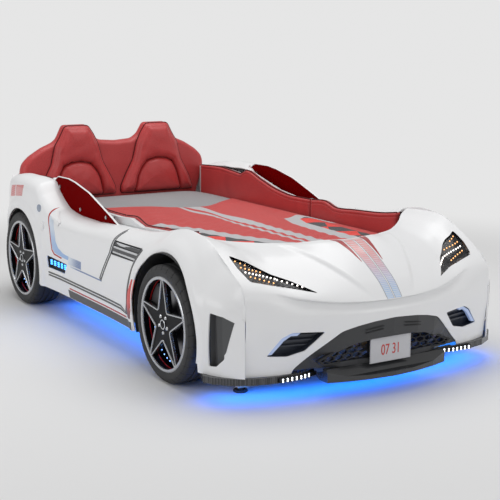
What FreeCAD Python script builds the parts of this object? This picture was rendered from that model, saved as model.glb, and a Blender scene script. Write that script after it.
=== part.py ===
"""A child's bed in the form of a sports car, as an assembly of separate pieces.

Frame: +X to the nose, +Y to the sleeper's left, +Z up; the origin is on the floor under the bed's middle.
Millimetres throughout.
"""
import FreeCAD, Part
import math
import os

import Sketcher
from FreeCAD import Placement, Rotation, Vector

doc = FreeCAD.newDocument("CarBed")
SIDES = {"left": 1, "right": -1}
PARTS = []

# --------------------------------------------------- driving dimensions
SIZES = [
    ("mattress_width", 900.0, "mattress"),
    ("mattress_length", 2000.0, "mattress"),
    ("mattress_thickness", 145.0, "mattress"),
    ("nose_overhang", 288.0, "nose, beyond the mattress"),
    ("tail_overhang", 142.0, "tail, behind the mattress"),
    ("flank_depth", 198.0, "widest point of a wing, beyond the mattress"),
    ("wall", 5.0, "moulded shell"),
    ("sill_height", 132.0, "lower edge of the shells between the wheels"),
    ("belt_height", 471.0, "lowest point of the body's upper edge"),
    ("front_crown_height", 557.0, "top of the front wing"),
    ("rear_crown_height", 607.0, "top of the rear wing"),
    ("seam_inset", 108.0, "joint of side and end shells, inside the widest point"),
    ("ledge_gap", 4.0, "side board to the side shell's ledge"),
    ("front_wheel_inset", 545.0, "front wheel centre, behind the nose"),
    ("rear_wheel_inset", 433.0, "rear wheel centre, ahead of the tail"),
    ("tyre_radius", 217.5, "outside of the tyre, and height of its centre"),
    ("tyre_width", 138.0, "across the tyre"),
    ("wheel_inset", 3.0, "outer face of the tyres, inside the widest point"),
    ("rim_radius", 176.0, "seat of the tyre on the rim"),
    ("rim_lip", 12.0, "width of the rim's outer lip"),
    ("spoke_count", 5.0, "arms of the star"),
    ("spoke_thickness", 20.0, "depth of the arms"),
    ("disc_radius", 118.0, "brake disc"),
    ("front_arch_radius", 260.0, "front wheel opening"),
    ("rear_arch_radius", 236.0, "rear wheel opening"),
    ("liner_wall", 3.0, "wheel arch liner"),
    ("slat_top", 290.0, "top of the slats"),
    ("slat_thickness", 18.0, "slat"),
    ("slat_width", 70.0, "slat"),
    ("slat_count", 14.0, "slats under the mattress"),
    ("cover_thickness", 5.0, "bedspread"),
    ("pad_gap", 3.0, "mattress to side pad"),
    ("pad_thickness", 22.0, "upholstered side pad"),
    ("board_thickness", 18.0, "wooden boards"),
    ("batten", 30.0, "square battens"),
    ("post", 45.0, "square corner posts"),
    ("post_foot", 21.0, "underside of the corner posts"),
    ("beam_width", 40.0, "centre beam"),
    ("beam_height", 60.0, "centre beam"),
    ("stem_radius", 5.0, "threaded stem of a levelling foot"),
    ("stem_clearance", 0.06, "stem in its bore"),
    ("bolt_radius", 4.0, "frame bolts"),
    ("cushion_thickness", 36.0, "headboard's back cushion"),
    ("seat_thickness", 38.0, "raised seat bolsters"),
    ("window_thickness", 6.0, "acrylic side window"),
    ("window_gap", 29.0, "side board to the window"),
    ("plate_width", 180.0, "bare number plate"),
    ("plate_height", 90.0, "bare number plate"),
    ("mesh_thickness", 12.0, "honeycomb grille"),
    ("cell_pitch", 38.0, "honeycomb, across"),
    ("cell_web", 5.0, "bars of the honeycomb"),
    ("lens_thickness", 4.0, "headlamp lens"),
    ("lamp_depth", 26.0, "headlamp housing"),
    ("lip_height", 14.0, "front edge of the diffuser"),
    ("ground_clearance", 70.0, "underside of the diffuser"),
    ("rocker_radius", 9.7, "rocker of the lamp switch"),
    ("rocker_clearance", 0.3, "rocker in its socket"),
]

sheet = doc.addObject("Spreadsheet::Sheet", "Sizes")
for row, (alias, value, note) in enumerate(SIZES, start=1):
    sheet.set("A%d" % row, alias)
    sheet.set("B%d" % row, str(value))
    sheet.set("C%d" % row, note)
    sheet.setAlias("B%d" % row, alias)
doc.recompute()


def size(alias):
    """One driving dimension, read from the sheet."""
    return float(sheet.get(alias))


# --------------------------------------------------- places worked out from them
HALF_LENGTH = (size("mattress_length") + size("nose_overhang") + size("tail_overhang")) / 2
WIDE = size("mattress_width") / 2 + size("flank_depth")
WALL = size("wall")
SEAM = WIDE - size("seam_inset")
FRONT_X = HALF_LENGTH - size("front_wheel_inset")
REAR_X = size("rear_wheel_inset") - HALF_LENGTH
WHEEL_FACE = WIDE - size("wheel_inset")
WHEEL_Z = size("tyre_radius")
SILL_Z = size("sill_height")
BELT_Z = size("belt_height")
FRONT_Z = size("front_crown_height")
REAR_Z = size("rear_crown_height")
BOARD = size("board_thickness")
PAD_INNER = size("mattress_width") / 2 + size("pad_gap")
BOARD_INNER = PAD_INNER + size("pad_thickness")
BOARD_OUTER = BOARD_INNER + BOARD
LEDGE = BOARD_OUTER + size("ledge_gap")
WINDOW_INNER = BOARD_OUTER + size("window_gap")
MATTRESS_FOOT = HALF_LENGTH - size("nose_overhang")
MATTRESS_HEAD = MATTRESS_FOOT - size("mattress_length")
MATTRESS_TOP = size("slat_top") + size("mattress_thickness")
SLAT_BOTTOM = size("slat_top") - size("slat_thickness")
LEDGER_BOTTOM = SLAT_BOTTOM - size("batten")
HEAD_FACE = MATTRESS_HEAD - size("pad_gap")
CUSHION_BACK = HEAD_FACE - size("cushion_thickness") - 18.0
FOOT_BOARD_X = MATTRESS_FOOT + size("pad_gap")
NOSE_FACE = HALF_LENGTH - 9.0

# The outlines below are drawn on the standard bed, of this length and width.
DRAWN_HALF_LENGTH = 1215.0
DRAWN_SEAM = 540.0
DRAWN_BED = 900.0
DRAWN_MIDDLE = (-546.0, 410.0)
DRAWN_TOP = 435.0


def along(x):
    """Where a length drawn on the standard bed falls: the ends keep their shape and the middle stretches."""
    longer = HALF_LENGTH - DRAWN_HALF_LENGTH
    share = (x - DRAWN_MIDDLE[0]) / (DRAWN_MIDDLE[1] - DRAWN_MIDDLE[0])
    return x + longer * (2 * min(max(share, 0.0), 1.0) - 1)


def side_drawn(points):
    """Points (x, z) drawn on the standard bed's side, fitted to this one."""
    return [(along(x), z) for x, z in points]


def knots_drawn(knots):
    """Knots (x, value) of the standard bed, fitted to this one's length."""
    return [(along(x), value) for x, value in knots]


def nose_drawn(points):
    """Points (y, z) drawn on the standard bed's nose, fitted to this one's width."""
    return [(y * SEAM / DRAWN_SEAM, z) for y, z in points]


def seat_drawn(points):
    """Points (y, z) drawn on the standard headboard, fitted to this mattress."""
    rise = MATTRESS_TOP - DRAWN_TOP
    wider = (size("mattress_width") - DRAWN_BED) / 2
    return [(y + wider * min(2 * y / DRAWN_BED, 1.0), z + rise) for y, z in points]


# --------------------------------------------------- curves, sections and layers
def guide(knots, at):
    """Value at one place of a smooth curve through (place, value) knots, without overshoot."""
    places = [knot[0] for knot in knots]
    values = [knot[1] for knot in knots]
    if at <= places[0]:
        return values[0]
    if at >= places[-1]:
        return values[-1]
    slopes = [
        (values[i + 1] - values[i]) / (places[i + 1] - places[i]) for i in range(len(knots) - 1)
    ]
    tangents = [slopes[0]]
    for before, after in zip(slopes, slopes[1:]):
        tangents.append(2 * before * after / (before + after) if before * after > 0 else 0.0)
    tangents.append(slopes[-1])
    i = max(k for k in range(len(slopes)) if places[k] <= at)
    step = places[i + 1] - places[i]
    s = (at - places[i]) / step
    rise = values[i + 1] - values[i]
    start, end = tangents[i] * step, tangents[i + 1] * step
    return values[i] + start * s + (3 * rise - 2 * start - end) * s * s + (start + end - 2 * rise) * s ** 3


def offset_line(points, depth):
    """The flat point list moved by depth to the left of its direction of travel."""
    moved = []
    for i, point in enumerate(points):
        before = points[max(i - 1, 0)]
        after = points[min(i + 1, len(points) - 1)]
        along = (after[0] - before[0], after[1] - before[1])
        length = math.hypot(*along)
        moved.append((point[0] - along[1] / length * depth, point[1] + along[0] / length * depth))
    return moved


def rounded_line(points, places):
    """Points of the Catmull-Rom curve through a flat line of points, at fractional places along it."""
    ends = [points[0]] + points + [points[-1]]
    line = []
    for place in places:
        i = min(int(place), len(points) - 2)
        s = place - i
        a, b, c, d = ends[i:i + 4]
        line.append(tuple(
            b[k] + 0.5 * s * (c[k] - a[k] + s * (2 * a[k] - 5 * b[k] + 4 * c[k] - d[k]
                                                 + s * (3 * (b[k] - c[k]) + d[k] - a[k])))
            for k in (0, 1)
        ))
    return line


def band_loft(bands):
    """A solid of flat facets through closed sections, each an outer and an inner line of points."""
    rings = [outer + list(reversed(inner)) for outer, inner in bands]
    faces = [Part.Face(Part.makePolygon(ring + ring[:1])) for ring in (rings[0], rings[-1])]
    for ring, following in zip(rings, rings[1:]):
        for i in range(len(ring)):
            a, b = ring[i - 1], ring[i]
            c, d = following[i], following[i - 1]
            corners = [(a, b, c), (a, c, d)] if (c - a).Length < (d - b).Length else [(a, b, d), (b, c, d)]
            faces += [Part.Face(Part.makePolygon([p, q, r, p])) for p, q, r in corners]
    skin = Part.Shell(faces)
    skin.sewShape()
    solid = Part.Solid(skin)
    if solid.Volume < 0:
        solid.reverse()
    return solid


def prism(points, axis, start, end):
    """A straight prism on a flat outline, along X, Y or Z, from start to end."""
    place = {
        "X": lambda a, b: Vector(start, a, b),
        "Y": lambda a, b: Vector(a, start, b),
        "Z": lambda a, b: Vector(a, b, start),
    }[axis]
    corners = [place(a, b) for a, b in points]
    way = {"X": Vector(1, 0, 0), "Y": Vector(0, 1, 0), "Z": Vector(0, 0, 1)}[axis]
    return Part.Face(Part.makePolygon(corners + corners[:1])).extrude(way * (end - start))


def grown(points, by):
    """A closed outline moved outwards by a distance, corner by corner."""
    area = sum(
        a[0] * b[1] - b[0] * a[1] for a, b in zip(points, points[1:] + points[:1])
    )
    turn = 1 if area > 0 else -1
    moved = []
    for i, point in enumerate(points):
        before, after = points[i - 1], points[(i + 1) % len(points)]
        one = (point[0] - before[0], point[1] - before[1])
        two = (after[0] - point[0], after[1] - point[1])
        n_one = (one[1] / math.hypot(*one), -one[0] / math.hypot(*one))
        n_two = (two[1] / math.hypot(*two), -two[0] / math.hypot(*two))
        mean = (n_one[0] + n_two[0], n_one[1] + n_two[1])
        scale = 2 * by * turn / max(mean[0] ** 2 + mean[1] ** 2, 0.8)
        moved.append((point[0] + mean[0] * scale, point[1] + mean[1] * scale))
    return moved


def strip(points, width):
    """A flat band of one width along an open line of points."""
    return offset_line(points, width / 2) + list(reversed(offset_line(points, -width / 2)))


def mirrored(shape):
    return shape.mirror(Vector(0, 0, 0), Vector(0, 1, 0))


def both_sides(shape):
    """The left-hand shape and its mirror image, as separate solids of one piece."""
    return Part.makeCompound(shape.Solids + mirrored(shape).Solids)


def largest(shape):
    return max(shape.Solids, key=lambda solid: solid.Volume)


def keep(label, shape):
    """A sub-part whose shape is worked out here."""
    piece = doc.addObject("Part::Feature", label)
    piece.Label = label
    piece.Shape = shape
    PARTS.append(piece)
    return piece


def keep_object(label, piece):
    """A sub-part built from the document's own objects."""
    piece.Label = label
    PARTS.append(piece)
    return piece


# --------------------------------------------------- the side shell's surface
FRONT_SEAM_X = NOSE_FACE - 121.0
REAR_SEAM_X = -HALF_LENGTH + 81.0
SIDE_STATIONS = [along(x) for x in (
    -1134, -1090, -1000, -860, -712, -620, -556, -490, -380, -180,
    120, 400, 590, 700, 810, 910, 990, 1050, 1085,
)]
WIDTH_KNOTS = knots_drawn([
    (-1134, SEAM + 3), (-1090, SEAM + 40), (-1020, WIDE - 34), (-940, WIDE - 10), (-782, WIDE),
    (-560, WIDE - 5), (-300, WIDE - 17), (100, WIDE - 18), (400, WIDE - 10), (670, WIDE),
    (860, WIDE - 2), (960, WIDE - 14), (1020, WIDE - 42), (1058, WIDE - 74), (1085, SEAM + 3),
])
CROWN_KNOTS = knots_drawn([
    (-1134, REAR_Z - 62), (-1060, REAR_Z - 36), (-950, REAR_Z - 14), (-821, REAR_Z - 1),
    (-715, REAR_Z), (-610, REAR_Z - 12), (-556, REAR_Z - 58), (-492, BELT_Z + 38), (-429, BELT_Z + 13),
    (-292, BELT_Z), (-148, BELT_Z), (9, BELT_Z + 9), (200, BELT_Z + 20), (375, BELT_Z + 34),
    (508, FRONT_Z - 32), (608, FRONT_Z - 10), (690, FRONT_Z), (770, FRONT_Z - 6),
    (843, FRONT_Z - 22), (944, FRONT_Z - 80), (1036, FRONT_Z - 127), (1071, FRONT_Z - 157),
    (1085, FRONT_Z - 196),
])
CROWN_OFFSET_KNOTS = knots_drawn([
    (-1134, SEAM), (-1000, SEAM + 10), (-782, SEAM + 26), (-560, SEAM + 18), (0, SEAM + 16),
    (300, SEAM + 8), (560, SEAM), (1085, SEAM),
])
SHOULDER_KNOTS = knots_drawn([
    (-1134, 0.7), (-782, 0.82), (-300, 0.76), (250, 0.72), (600, 0.55), (1085, 0.55),
])
SHOULDER_DROP_KNOTS = knots_drawn([(-1134, 26), (-782, 32), (-300, 31), (250, 34), (700, 56), (1085, 50)])
LEDGE_DROP_KNOTS = knots_drawn([(-1134, 8), (-782, 24), (-500, 4), (0, 2), (300, 6), (560, 14), (1085, 14)])
BOTTOM_KNOTS = knots_drawn([
    (-1134, SILL_Z - 8), (-600, SILL_Z), (450, SILL_Z), (900, SILL_Z - 26), (1085, SILL_Z - 26),
])
WIDEST_Z = 300.0


def side_section(x):
    """Points (y, z) of the side shell's outer face at x, from its lower edge over the crown to the ledge."""
    wide = guide(WIDTH_KNOTS, x)
    crown_y = guide(CROWN_OFFSET_KNOTS, x)
    crown_z = guide(CROWN_KNOTS, x)
    bottom = guide(BOTTOM_KNOTS, x)
    overhang = wide - crown_y
    shoulder_y = crown_y + guide(SHOULDER_KNOTS, x) * overhang
    shoulder_z = crown_z - guide(SHOULDER_DROP_KNOTS, x)
    upper_z = WIDEST_Z + 0.55 * (shoulder_z - WIDEST_Z)
    corners = [
        (wide - 0.10 * overhang, bottom),
        (wide - 0.03 * overhang, bottom + 0.5 * (WIDEST_Z - bottom)),
        (wide, WIDEST_Z),
        (wide - 0.08 * overhang, upper_z),
        (shoulder_y, shoulder_z),
        (crown_y, crown_z),
        (LEDGE, crown_z - guide(LEDGE_DROP_KNOTS, x)),
    ]
    return rounded_line(corners, [0, 2, 3, 3.6, 4, 4.5, 5, 6])


def side_surface_y(x, z):
    """How far out the side shell's face lies at one place, by its section's upright part."""
    points = side_section(x)[:7]
    for low, high in zip(points, points[1:]):
        if low[1] <= z <= high[1]:
            share = (z - low[1]) / (high[1] - low[1])
            return low[0] + share * (high[0] - low[0])
    return points[-1][0]


def side_layer(inner_depth, outer_depth):
    """A closed layer along the side shell's face, between two depths; negative is outwards."""
    bands = []
    for x in SIDE_STATIONS:
        section = side_section(x)
        outer = [Vector(x, y, z) for y, z in offset_line(section, outer_depth)]
        inner = [Vector(x, y, z) for y, z in offset_line(section, inner_depth)]
        bands.append((outer, inner))
    return band_loft(bands)


# --------------------------------------------------- the front shell's surface
WIDER = SEAM / DRAWN_SEAM
FRONT_STATIONS = [WIDER * y for y in (0, 110, 200, 280, 350, 420, 480, 540)]
LONGER = HALF_LENGTH - DRAWN_HALF_LENGTH
HOOD_EDGE_X = MATTRESS_FOOT - 5.0
PROFILE_KNOTS = [
    # by half-width: x, then z, of the hood's rear edge, mid hood, lamp line, crease, bumper and its foot
    [(0, HOOD_EDGE_X), (100, HOOD_EDGE_X - 17), (200, HOOD_EDGE_X - 84), (280, HOOD_EDGE_X - 122),
     (350, HOOD_EDGE_X - 177), (420, HOOD_EDGE_X - 238), (480, HOOD_EDGE_X - 292), (540, HOOD_EDGE_X - 330)],
    [(0, FRONT_Z - 44), (100, FRONT_Z - 42), (200, FRONT_Z - 54), (350, FRONT_Z - 52), (420, FRONT_Z - 46),
     (480, FRONT_Z - 26), (540, FRONT_Z - 13)],
    [(y, x + LONGER) for y, x in ((0, 1010), (100, 1000), (200, 960), (280, 940), (350, 900), (420, 850),
                                  (480, 805), (540, 770))],
    [(0, FRONT_Z - 79), (200, FRONT_Z - 79), (280, FRONT_Z - 85), (350, FRONT_Z - 82), (420, FRONT_Z - 58),
     (480, FRONT_Z - 28), (540, FRONT_Z - 6)],
    [(y, x + LONGER) for y, x in ((0, 1110), (100, 1105), (200, 1085), (280, 1060), (350, 1024), (420, 960),
                                  (480, 920), (540, 890))],
    [(0, FRONT_Z - 139), (200, FRONT_Z - 139), (280, FRONT_Z - 142), (350, FRONT_Z - 137),
     (420, FRONT_Z - 104), (480, FRONT_Z - 66), (540, FRONT_Z - 44)],
    [(0, NOSE_FACE - 8), (100, NOSE_FACE - 13), (200, NOSE_FACE - 34), (280, NOSE_FACE - 62),
     (350, NOSE_FACE - 91), (420, NOSE_FACE - 118), (480, NOSE_FACE - 133), (540, NOSE_FACE - 141)],
    [(0, FRONT_Z - 212), (200, FRONT_Z - 207), (280, FRONT_Z - 199), (350, FRONT_Z - 187),
     (420, FRONT_Z - 169), (480, FRONT_Z - 159), (540, FRONT_Z - 154)],
    [(0, NOSE_FACE), (100, NOSE_FACE - 3), (200, NOSE_FACE - 20), (280, NOSE_FACE - 44),
     (350, NOSE_FACE - 64), (420, NOSE_FACE - 84), (480, NOSE_FACE - 100), (540, FRONT_SEAM_X)],
    [(0, 300), (540, 300)],
    [(0, NOSE_FACE - 10), (100, NOSE_FACE - 12), (200, NOSE_FACE - 28), (280, NOSE_FACE - 56),
     (350, NOSE_FACE - 78), (420, NOSE_FACE - 92), (480, NOSE_FACE - 106), (540, FRONT_SEAM_X - 6)],
    [(0, 200), (540, 200)],
    [(0, NOSE_FACE - 40), (200, NOSE_FACE - 50), (280, NOSE_FACE - 84), (350, NOSE_FACE - 96),
     (420, NOSE_FACE - 102), (480, NOSE_FACE - 116), (540, FRONT_SEAM_X - 16)],
    [(0, SILL_Z - 26), (540, SILL_Z - 26)],
]


def front_profile(y):
    """Points (x, z) of the front shell's outer face at y, from the hood's rear edge down to the bumper's."""
    at = abs(y) / WIDER
    pairs = zip(PROFILE_KNOTS[0::2], PROFILE_KNOTS[1::2])
    corners = [(guide(along, at), guide(height, at)) for along, height in pairs]
    return rounded_line(corners, [0, 1, 2, 2.6, 3, 3.3, 4, 5, 6])


def front_layer(inner_depth, outer_depth):
    """A closed layer along the front shell's face, between two depths; negative is outwards."""
    bands = []
    for y in [-station for station in reversed(FRONT_STATIONS[1:])] + FRONT_STATIONS:
        profile = front_profile(y)
        outer = [Vector(x, y, z) for x, z in offset_line(profile, -outer_depth)]
        inner = [Vector(x, y, z) for x, z in offset_line(profile, -inner_depth)]
        bands.append((outer, inner))
    return band_loft(bands)


def front_surface_x(y, z):
    """How far forward the front shell's face lies at one place."""
    points = front_profile(y)
    for high, low in zip(points, points[1:]):
        if low[1] <= z <= high[1]:
            share = (high[1] - z) / (high[1] - low[1])
            return high[0] + share * (low[0] - high[0])
    return points[-1][0]


# --------------------------------------------------- outlines on the shells
VENT = side_drawn([(217, 454), (453, 458), (410, 402), (190, 396)])
DOOR_GROOVE = side_drawn([(300, 486), (217, 452), (101, 277)])
LOWER_GROOVE = side_drawn([(-461, 200), (318, 200), (345, 222), (398, 331), (452, 456)])
GROOVE_WIDTH = 13.0
GROOVE_DEPTH = 3.0
LAMP_RECESS = side_drawn([(-463, 284), (-458, 230), (-281, 230), (-250, 276)])
SILL_PANEL = side_drawn([(-252, 166), (-240, SILL_Z + 2), (344, SILL_Z + 2), (344, 166)])
INTAKE = side_drawn([(986, 326), (1036, 316), (1034, 170), (1006, 140), (978, 138)])
HEADLAMP = nose_drawn([
    (508, 499), (509, 465), (494, 427), (400, 405), (270, 379), (335, 414), (385, 434), (450, 474),
])
FOG_OPENING = nose_drawn([(469, 178), (418, 240), (385, 256), (268, 252), (331, 186), (393, 171)])
GRILLE_OUTLINE = nose_drawn([(372, 116), (300, 178), (212, 250), (150, 266), (97, 274), (0, 280)])
MESH_OUTLINE = nose_drawn([(270, 130), (298, 151), (152, 206), (91, 214), (0, 216)])


WINDOW_OUTLINE = side_drawn([
    (-660, 560), (-645, 583), (-585, 614), (-465, 616), (-350, 613), (-237, 602), (-129, 577), (-37, 552),
    (66, 519), (66, BELT_Z - 14), (-500, BELT_Z - 14), (-600, 520),
])
LAMPS_START = HALF_LENGTH - 395.0
BUMPER_START = HALF_LENGTH - 235.0


def closed_mirror(half):
    """A symmetric closed outline from the half on the left."""
    return half + [(-y, z) for y, z in reversed(half) if y > 0]


def side_cutter(outline, inner_depth, outer_depth):
    """The part of a layer of the side shell that lies inside an outline seen from the side."""
    return side_layer(inner_depth, outer_depth).common(prism(outline, "Y", SEAM - 60, WIDE + 60))


def front_cutter(outline, inner_depth, outer_depth, start=LAMPS_START):
    """The part of a layer of the front shell that lies inside an outline seen from the front."""
    return front_layer(inner_depth, outer_depth).common(prism(outline, "X", start, HALF_LENGTH + 30))


# --------------------------------------------------- shells
def build_side_shells():
    """A wing-to-wing side moulding with its wheel openings, recesses and grooves, and its mirror."""
    shell = side_layer(WALL, 0.0)
    for x, radius in ((FRONT_X, size("front_arch_radius")), (REAR_X, size("rear_arch_radius"))):
        arch = Part.makeCylinder(radius, 400, Vector(x, SEAM - 100, WHEEL_Z), Vector(0, 1, 0))
        below = Part.makeBox(2 * radius, 400, WHEEL_Z, Vector(x - radius, SEAM - 100, 0))
        shell = shell.cut(arch.fuse(below))
    shell = shell.cut(Part.makeBox(700, SEAM - LEDGE + 60, 500, Vector(HOOD_EDGE_X - 332, LEDGE - 60, 200)))
    shell = shell.cut(plain_box((REAR_SEAM_X - 9, LEDGE - 60, 400), (HEAD_FACE - 16, LEDGE + 19, 700)))
    for outline in (VENT, LAMP_RECESS, INTAKE):
        shell = shell.cut(prism(outline, "Y", SEAM - 20, WIDE + 60))
    for line in (DOOR_GROOVE, LOWER_GROOVE):
        shell = shell.cut(side_cutter(strip(line, GROOVE_WIDTH), GROOVE_DEPTH, -8.0))
    shell = shell.cut(side_cutter(SILL_PANEL, GROOVE_DEPTH, -8.0))
    window = [(x, z) for x, z in grown(WINDOW_OUTLINE, 6)]
    shell = shell.cut(prism(window, "Y", WINDOW_INNER - 1, WINDOW_INNER + size("window_thickness") + 1))
    left = keep("side_shell_left", largest(shell))
    right = doc.addObject("Part::Mirroring", "side_shell_right")
    right.Source = left
    right.Normal = Vector(0, 1, 0)
    keep_object("side_shell_right", right)


def build_front_shell():
    """Hood and bumper in one moulding, open for the lamps, the fog recesses and the grille."""
    shell = front_layer(WALL, 0.0)
    for outline in (HEADLAMP, FOG_OPENING):
        for sign in (1, -1):
            flat = [(sign * y, z) for y, z in outline]
            shell = shell.cut(prism(flat, "X", LAMPS_START, HALF_LENGTH + 30))
    opening = closed_mirror(GRILLE_OUTLINE)
    foot = GRILLE_OUTLINE[0][0]
    opening = [(foot, SILL_Z - 60)] + opening + [(-foot, SILL_Z - 60)]
    shell = shell.cut(prism(opening, "X", BUMPER_START, HALF_LENGTH + 30))
    keep("front_shell", largest(shell))


TAIL_STATIONS = [WIDER * y for y in (0, 340, 450, 500, 540)]
TAIL_KNOTS = [
    [(0, 20), (340, 26), (450, 38), (500, 50), (540, 68)],
    [(0, 0), (340, 8), (450, 26), (500, 42), (540, 66)],
    [(0, 4), (340, 12), (450, 30), (500, 45), (540, 68)],
    [(0, 30), (340, 36), (450, 46), (500, 56), (540, 68)],
]
TAIL_HEIGHTS = [REAR_Z - 80, REAR_Z - 150, 300, SILL_Z - 8]
TAIL_TOP_KNOTS = [(0, REAR_Z - 8), (450, REAR_Z - 22), (540, REAR_Z - 50)]
PANEL_BACK = CUSHION_BACK - BOARD


def tail_profile(y):
    """Points (x, z) of the tail's outer face at y, from its top edge down."""
    at = abs(y) / WIDER
    rear = -HALF_LENGTH
    points = [(rear + guide(knots, at), height) for knots, height in zip(TAIL_KNOTS, TAIL_HEIGHTS)]
    top = guide(TAIL_TOP_KNOTS, at)
    front = guide([(0, PANEL_BACK - 6), (500, PANEL_BACK - 6), (540, PANEL_BACK - 8)], at)
    return [(front, top), (points[0][0] + 10, top - 10)] + points


def build_rear_shell():
    """The tail moulding behind the headboard."""
    bands = []
    for y in [-station for station in reversed(TAIL_STATIONS[1:])] + TAIL_STATIONS:
        profile = tail_profile(y)
        outer = [Vector(x, y, z) for x, z in profile]
        inner = [Vector(x, y, z) for x, z in offset_line(profile, WALL)]
        bands.append((outer, inner))
    keep("rear_shell", band_loft(bands))


# --------------------------------------------------- helpers for turned, padded and simple pieces
def origin_plane(body, role):
    return next(plane for plane in body.Origin.OriginFeatures if plane.Role == role)


def add_sketch(body, name, role, loops):
    """A sketch on one origin plane, of closed loops of straight edges, or of (centre, radius) circles."""
    sketch = body.newObject("Sketcher::SketchObject", name)
    sketch.AttachmentSupport = (origin_plane(body, role), [""])
    sketch.MapMode = "FlatFace"
    for loop in loops:
        if isinstance(loop[1], (int, float)):
            centre = Vector(loop[0][0], loop[0][1], 0)
            sketch.addGeometry(Part.Circle(centre, Vector(0, 0, 1), loop[1]), False)
            continue
        first = sketch.GeometryCount
        for start, end in zip(loop, loop[1:] + loop[:1]):
            sketch.addGeometry(Part.LineSegment(Vector(*start, 0), Vector(*end, 0)), False)
        count = len(loop)
        for i in range(count):
            sketch.addConstraint(
                Sketcher.Constraint("Coincident", first + i, 2, first + (i + 1) % count, 1)
            )
    return sketch


def padded_body(name, role, loops, length, midplane=False, reverse=False):
    """A body made by one pad; length is an expression on the sheet."""
    body = doc.addObject("PartDesign::Body", name)
    sketch = add_sketch(body, name + "_outline", role, loops)
    pad = body.newObject("PartDesign::Pad", name + "_pad")
    pad.Profile = sketch
    pad.setExpression("Length", length)
    pad.Midplane = midplane
    pad.Reversed = reverse
    body.Tip = pad
    return body


def turned_body(name, profile):
    """A body turned about its own Y axis; the profile's points are (radius, along)."""
    body = doc.addObject("PartDesign::Body", name)
    sketch = add_sketch(body, name + "_profile", "XY_Plane", [profile])
    turn = body.newObject("PartDesign::Revolution", name + "_turn")
    turn.Profile = sketch
    turn.ReferenceAxis = (sketch, ["V_Axis"])
    turn.Angle = 360
    body.Tip = turn
    return body


def box_object(name, sizes, corner):
    """A box whose three sizes and corner are expressions on the sheet, or plain numbers."""
    box = doc.addObject("Part::Box", name)
    for prop, value in zip(("Length", "Width", "Height"), sizes):
        box.setExpression(prop, str(value))
    for prop, value in zip(("x", "y", "z"), corner):
        box.setExpression("Placement.Base." + prop, str(value))
    return box


def group(label, pieces):
    """Several separate solids of one kind as one sub-part."""
    bundle = doc.addObject("Part::Compound", label)
    bundle.Links = pieces
    return keep_object(label, bundle)


def plain_box(low, high):
    return Part.makeBox(high[0] - low[0], high[1] - low[1], high[2] - low[2], Vector(*low))


def rod(radius, start, end):
    """A round bar between two points."""
    axis = Vector(*end) - Vector(*start)
    return Part.makeCylinder(radius, axis.Length, Vector(*start), axis)


def hexagon(centre, radius):
    return [(centre[0] + radius * math.cos(k * math.pi / 3), centre[1] + radius * math.sin(k * math.pi / 3))
            for k in range(6)]


def crowned(outline, axis, levels):
    """A soft closed form: one outline, grown or drawn in, at each (place along the axis, growth)."""
    wires = []
    for place, growth in levels:
        flat = grown(outline, growth) if growth else outline
        points = [Vector(place, a, b) if axis == "X" else Vector(a, place, b) for a, b in flat]
        wires.append(Part.makePolygon(points + points[:1]))
    return Part.makeLoft(wires, True, True)


# --------------------------------------------------- wooden frame
PAD_TOP_KNOTS = knots_drawn([
    (-1076, 566), (-1011, 572), (-832, 579), (-686, 570), (-631, 566), (-560, 589), (-441, 559),
    (-296, 525), (-157, 510), (1, 512), (102, 520), (206, 499), (341, 508), (500, 518), (690, 545),
])
SIDE_BOARD_TOP = [(x, z - 5) for x, z in PAD_TOP_KNOTS[:-1]] + [
    (HOOD_EDGE_X - 282, 512), (HOOD_EDGE_X - 222, 480), (HOOD_EDGE_X - 20, 430), (FOOT_BOARD_X + BOARD, 400),
]
BOARD_BOTTOM = SILL_Z + 18.0
BOARD_HEAD = HEAD_FACE + 1.0
FASTENER_HEIGHT = LEDGER_BOTTOM - 60


def build_side_boards():
    """Upright boards beside the mattress, cut along the top to the line of the pads."""
    outline = [(BOARD_HEAD, BOARD_BOTTOM), (FOOT_BOARD_X + BOARD, BOARD_BOTTOM)]
    outline += list(reversed(SIDE_BOARD_TOP[1:])) + [(BOARD_HEAD, SIDE_BOARD_TOP[0][1])]
    holes = [((x, FASTENER_HEIGHT), size("bolt_radius") + 0.2) for x in post_centres()]
    for name, sign in SIDES.items():
        label = "side_board_" + name
        body = padded_body(label, "XZ_Plane", [outline] + holes, "Sizes.board_thickness", reverse=sign > 0)
        body.Placement = Placement(Vector(0, sign * BOARD_INNER, 0), Rotation())
        keep_object(label, body)


def post_centres():
    half = size("post") / 2
    return [BOARD_HEAD + half, MATTRESS_FOOT - half]


LEG_PLACES = [along(-700), -80.0, along(560)]


def build_posts_and_legs():
    """Corner posts, bored for the levelling feet, and the centre beam's legs."""
    pieces = []
    half = size("post") / 2
    for x in post_centres():
        for sign in SIDES.values():
            y = sign * (BOARD_INNER - half)
            post = plain_box((x - half, y - half, size("post_foot")), (x + half, y + half, LEDGER_BOTTOM))
            bore = size("stem_radius") + size("stem_clearance")
            post = post.cut(rod(bore, (x, y, size("post_foot") - 1), (x, y, STEM_TOP + 4)))
            pieces.append(post)
    for x in LEG_PLACES:
        width = size("beam_width") / 2
        top = SLAT_BOTTOM - size("beam_height")
        pieces.append(plain_box((x - width, -width, 0), (x + width, width, top)))
    keep("legs", Part.makeCompound(pieces))


STEM_TOP = size("post_foot") + 52.0


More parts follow.
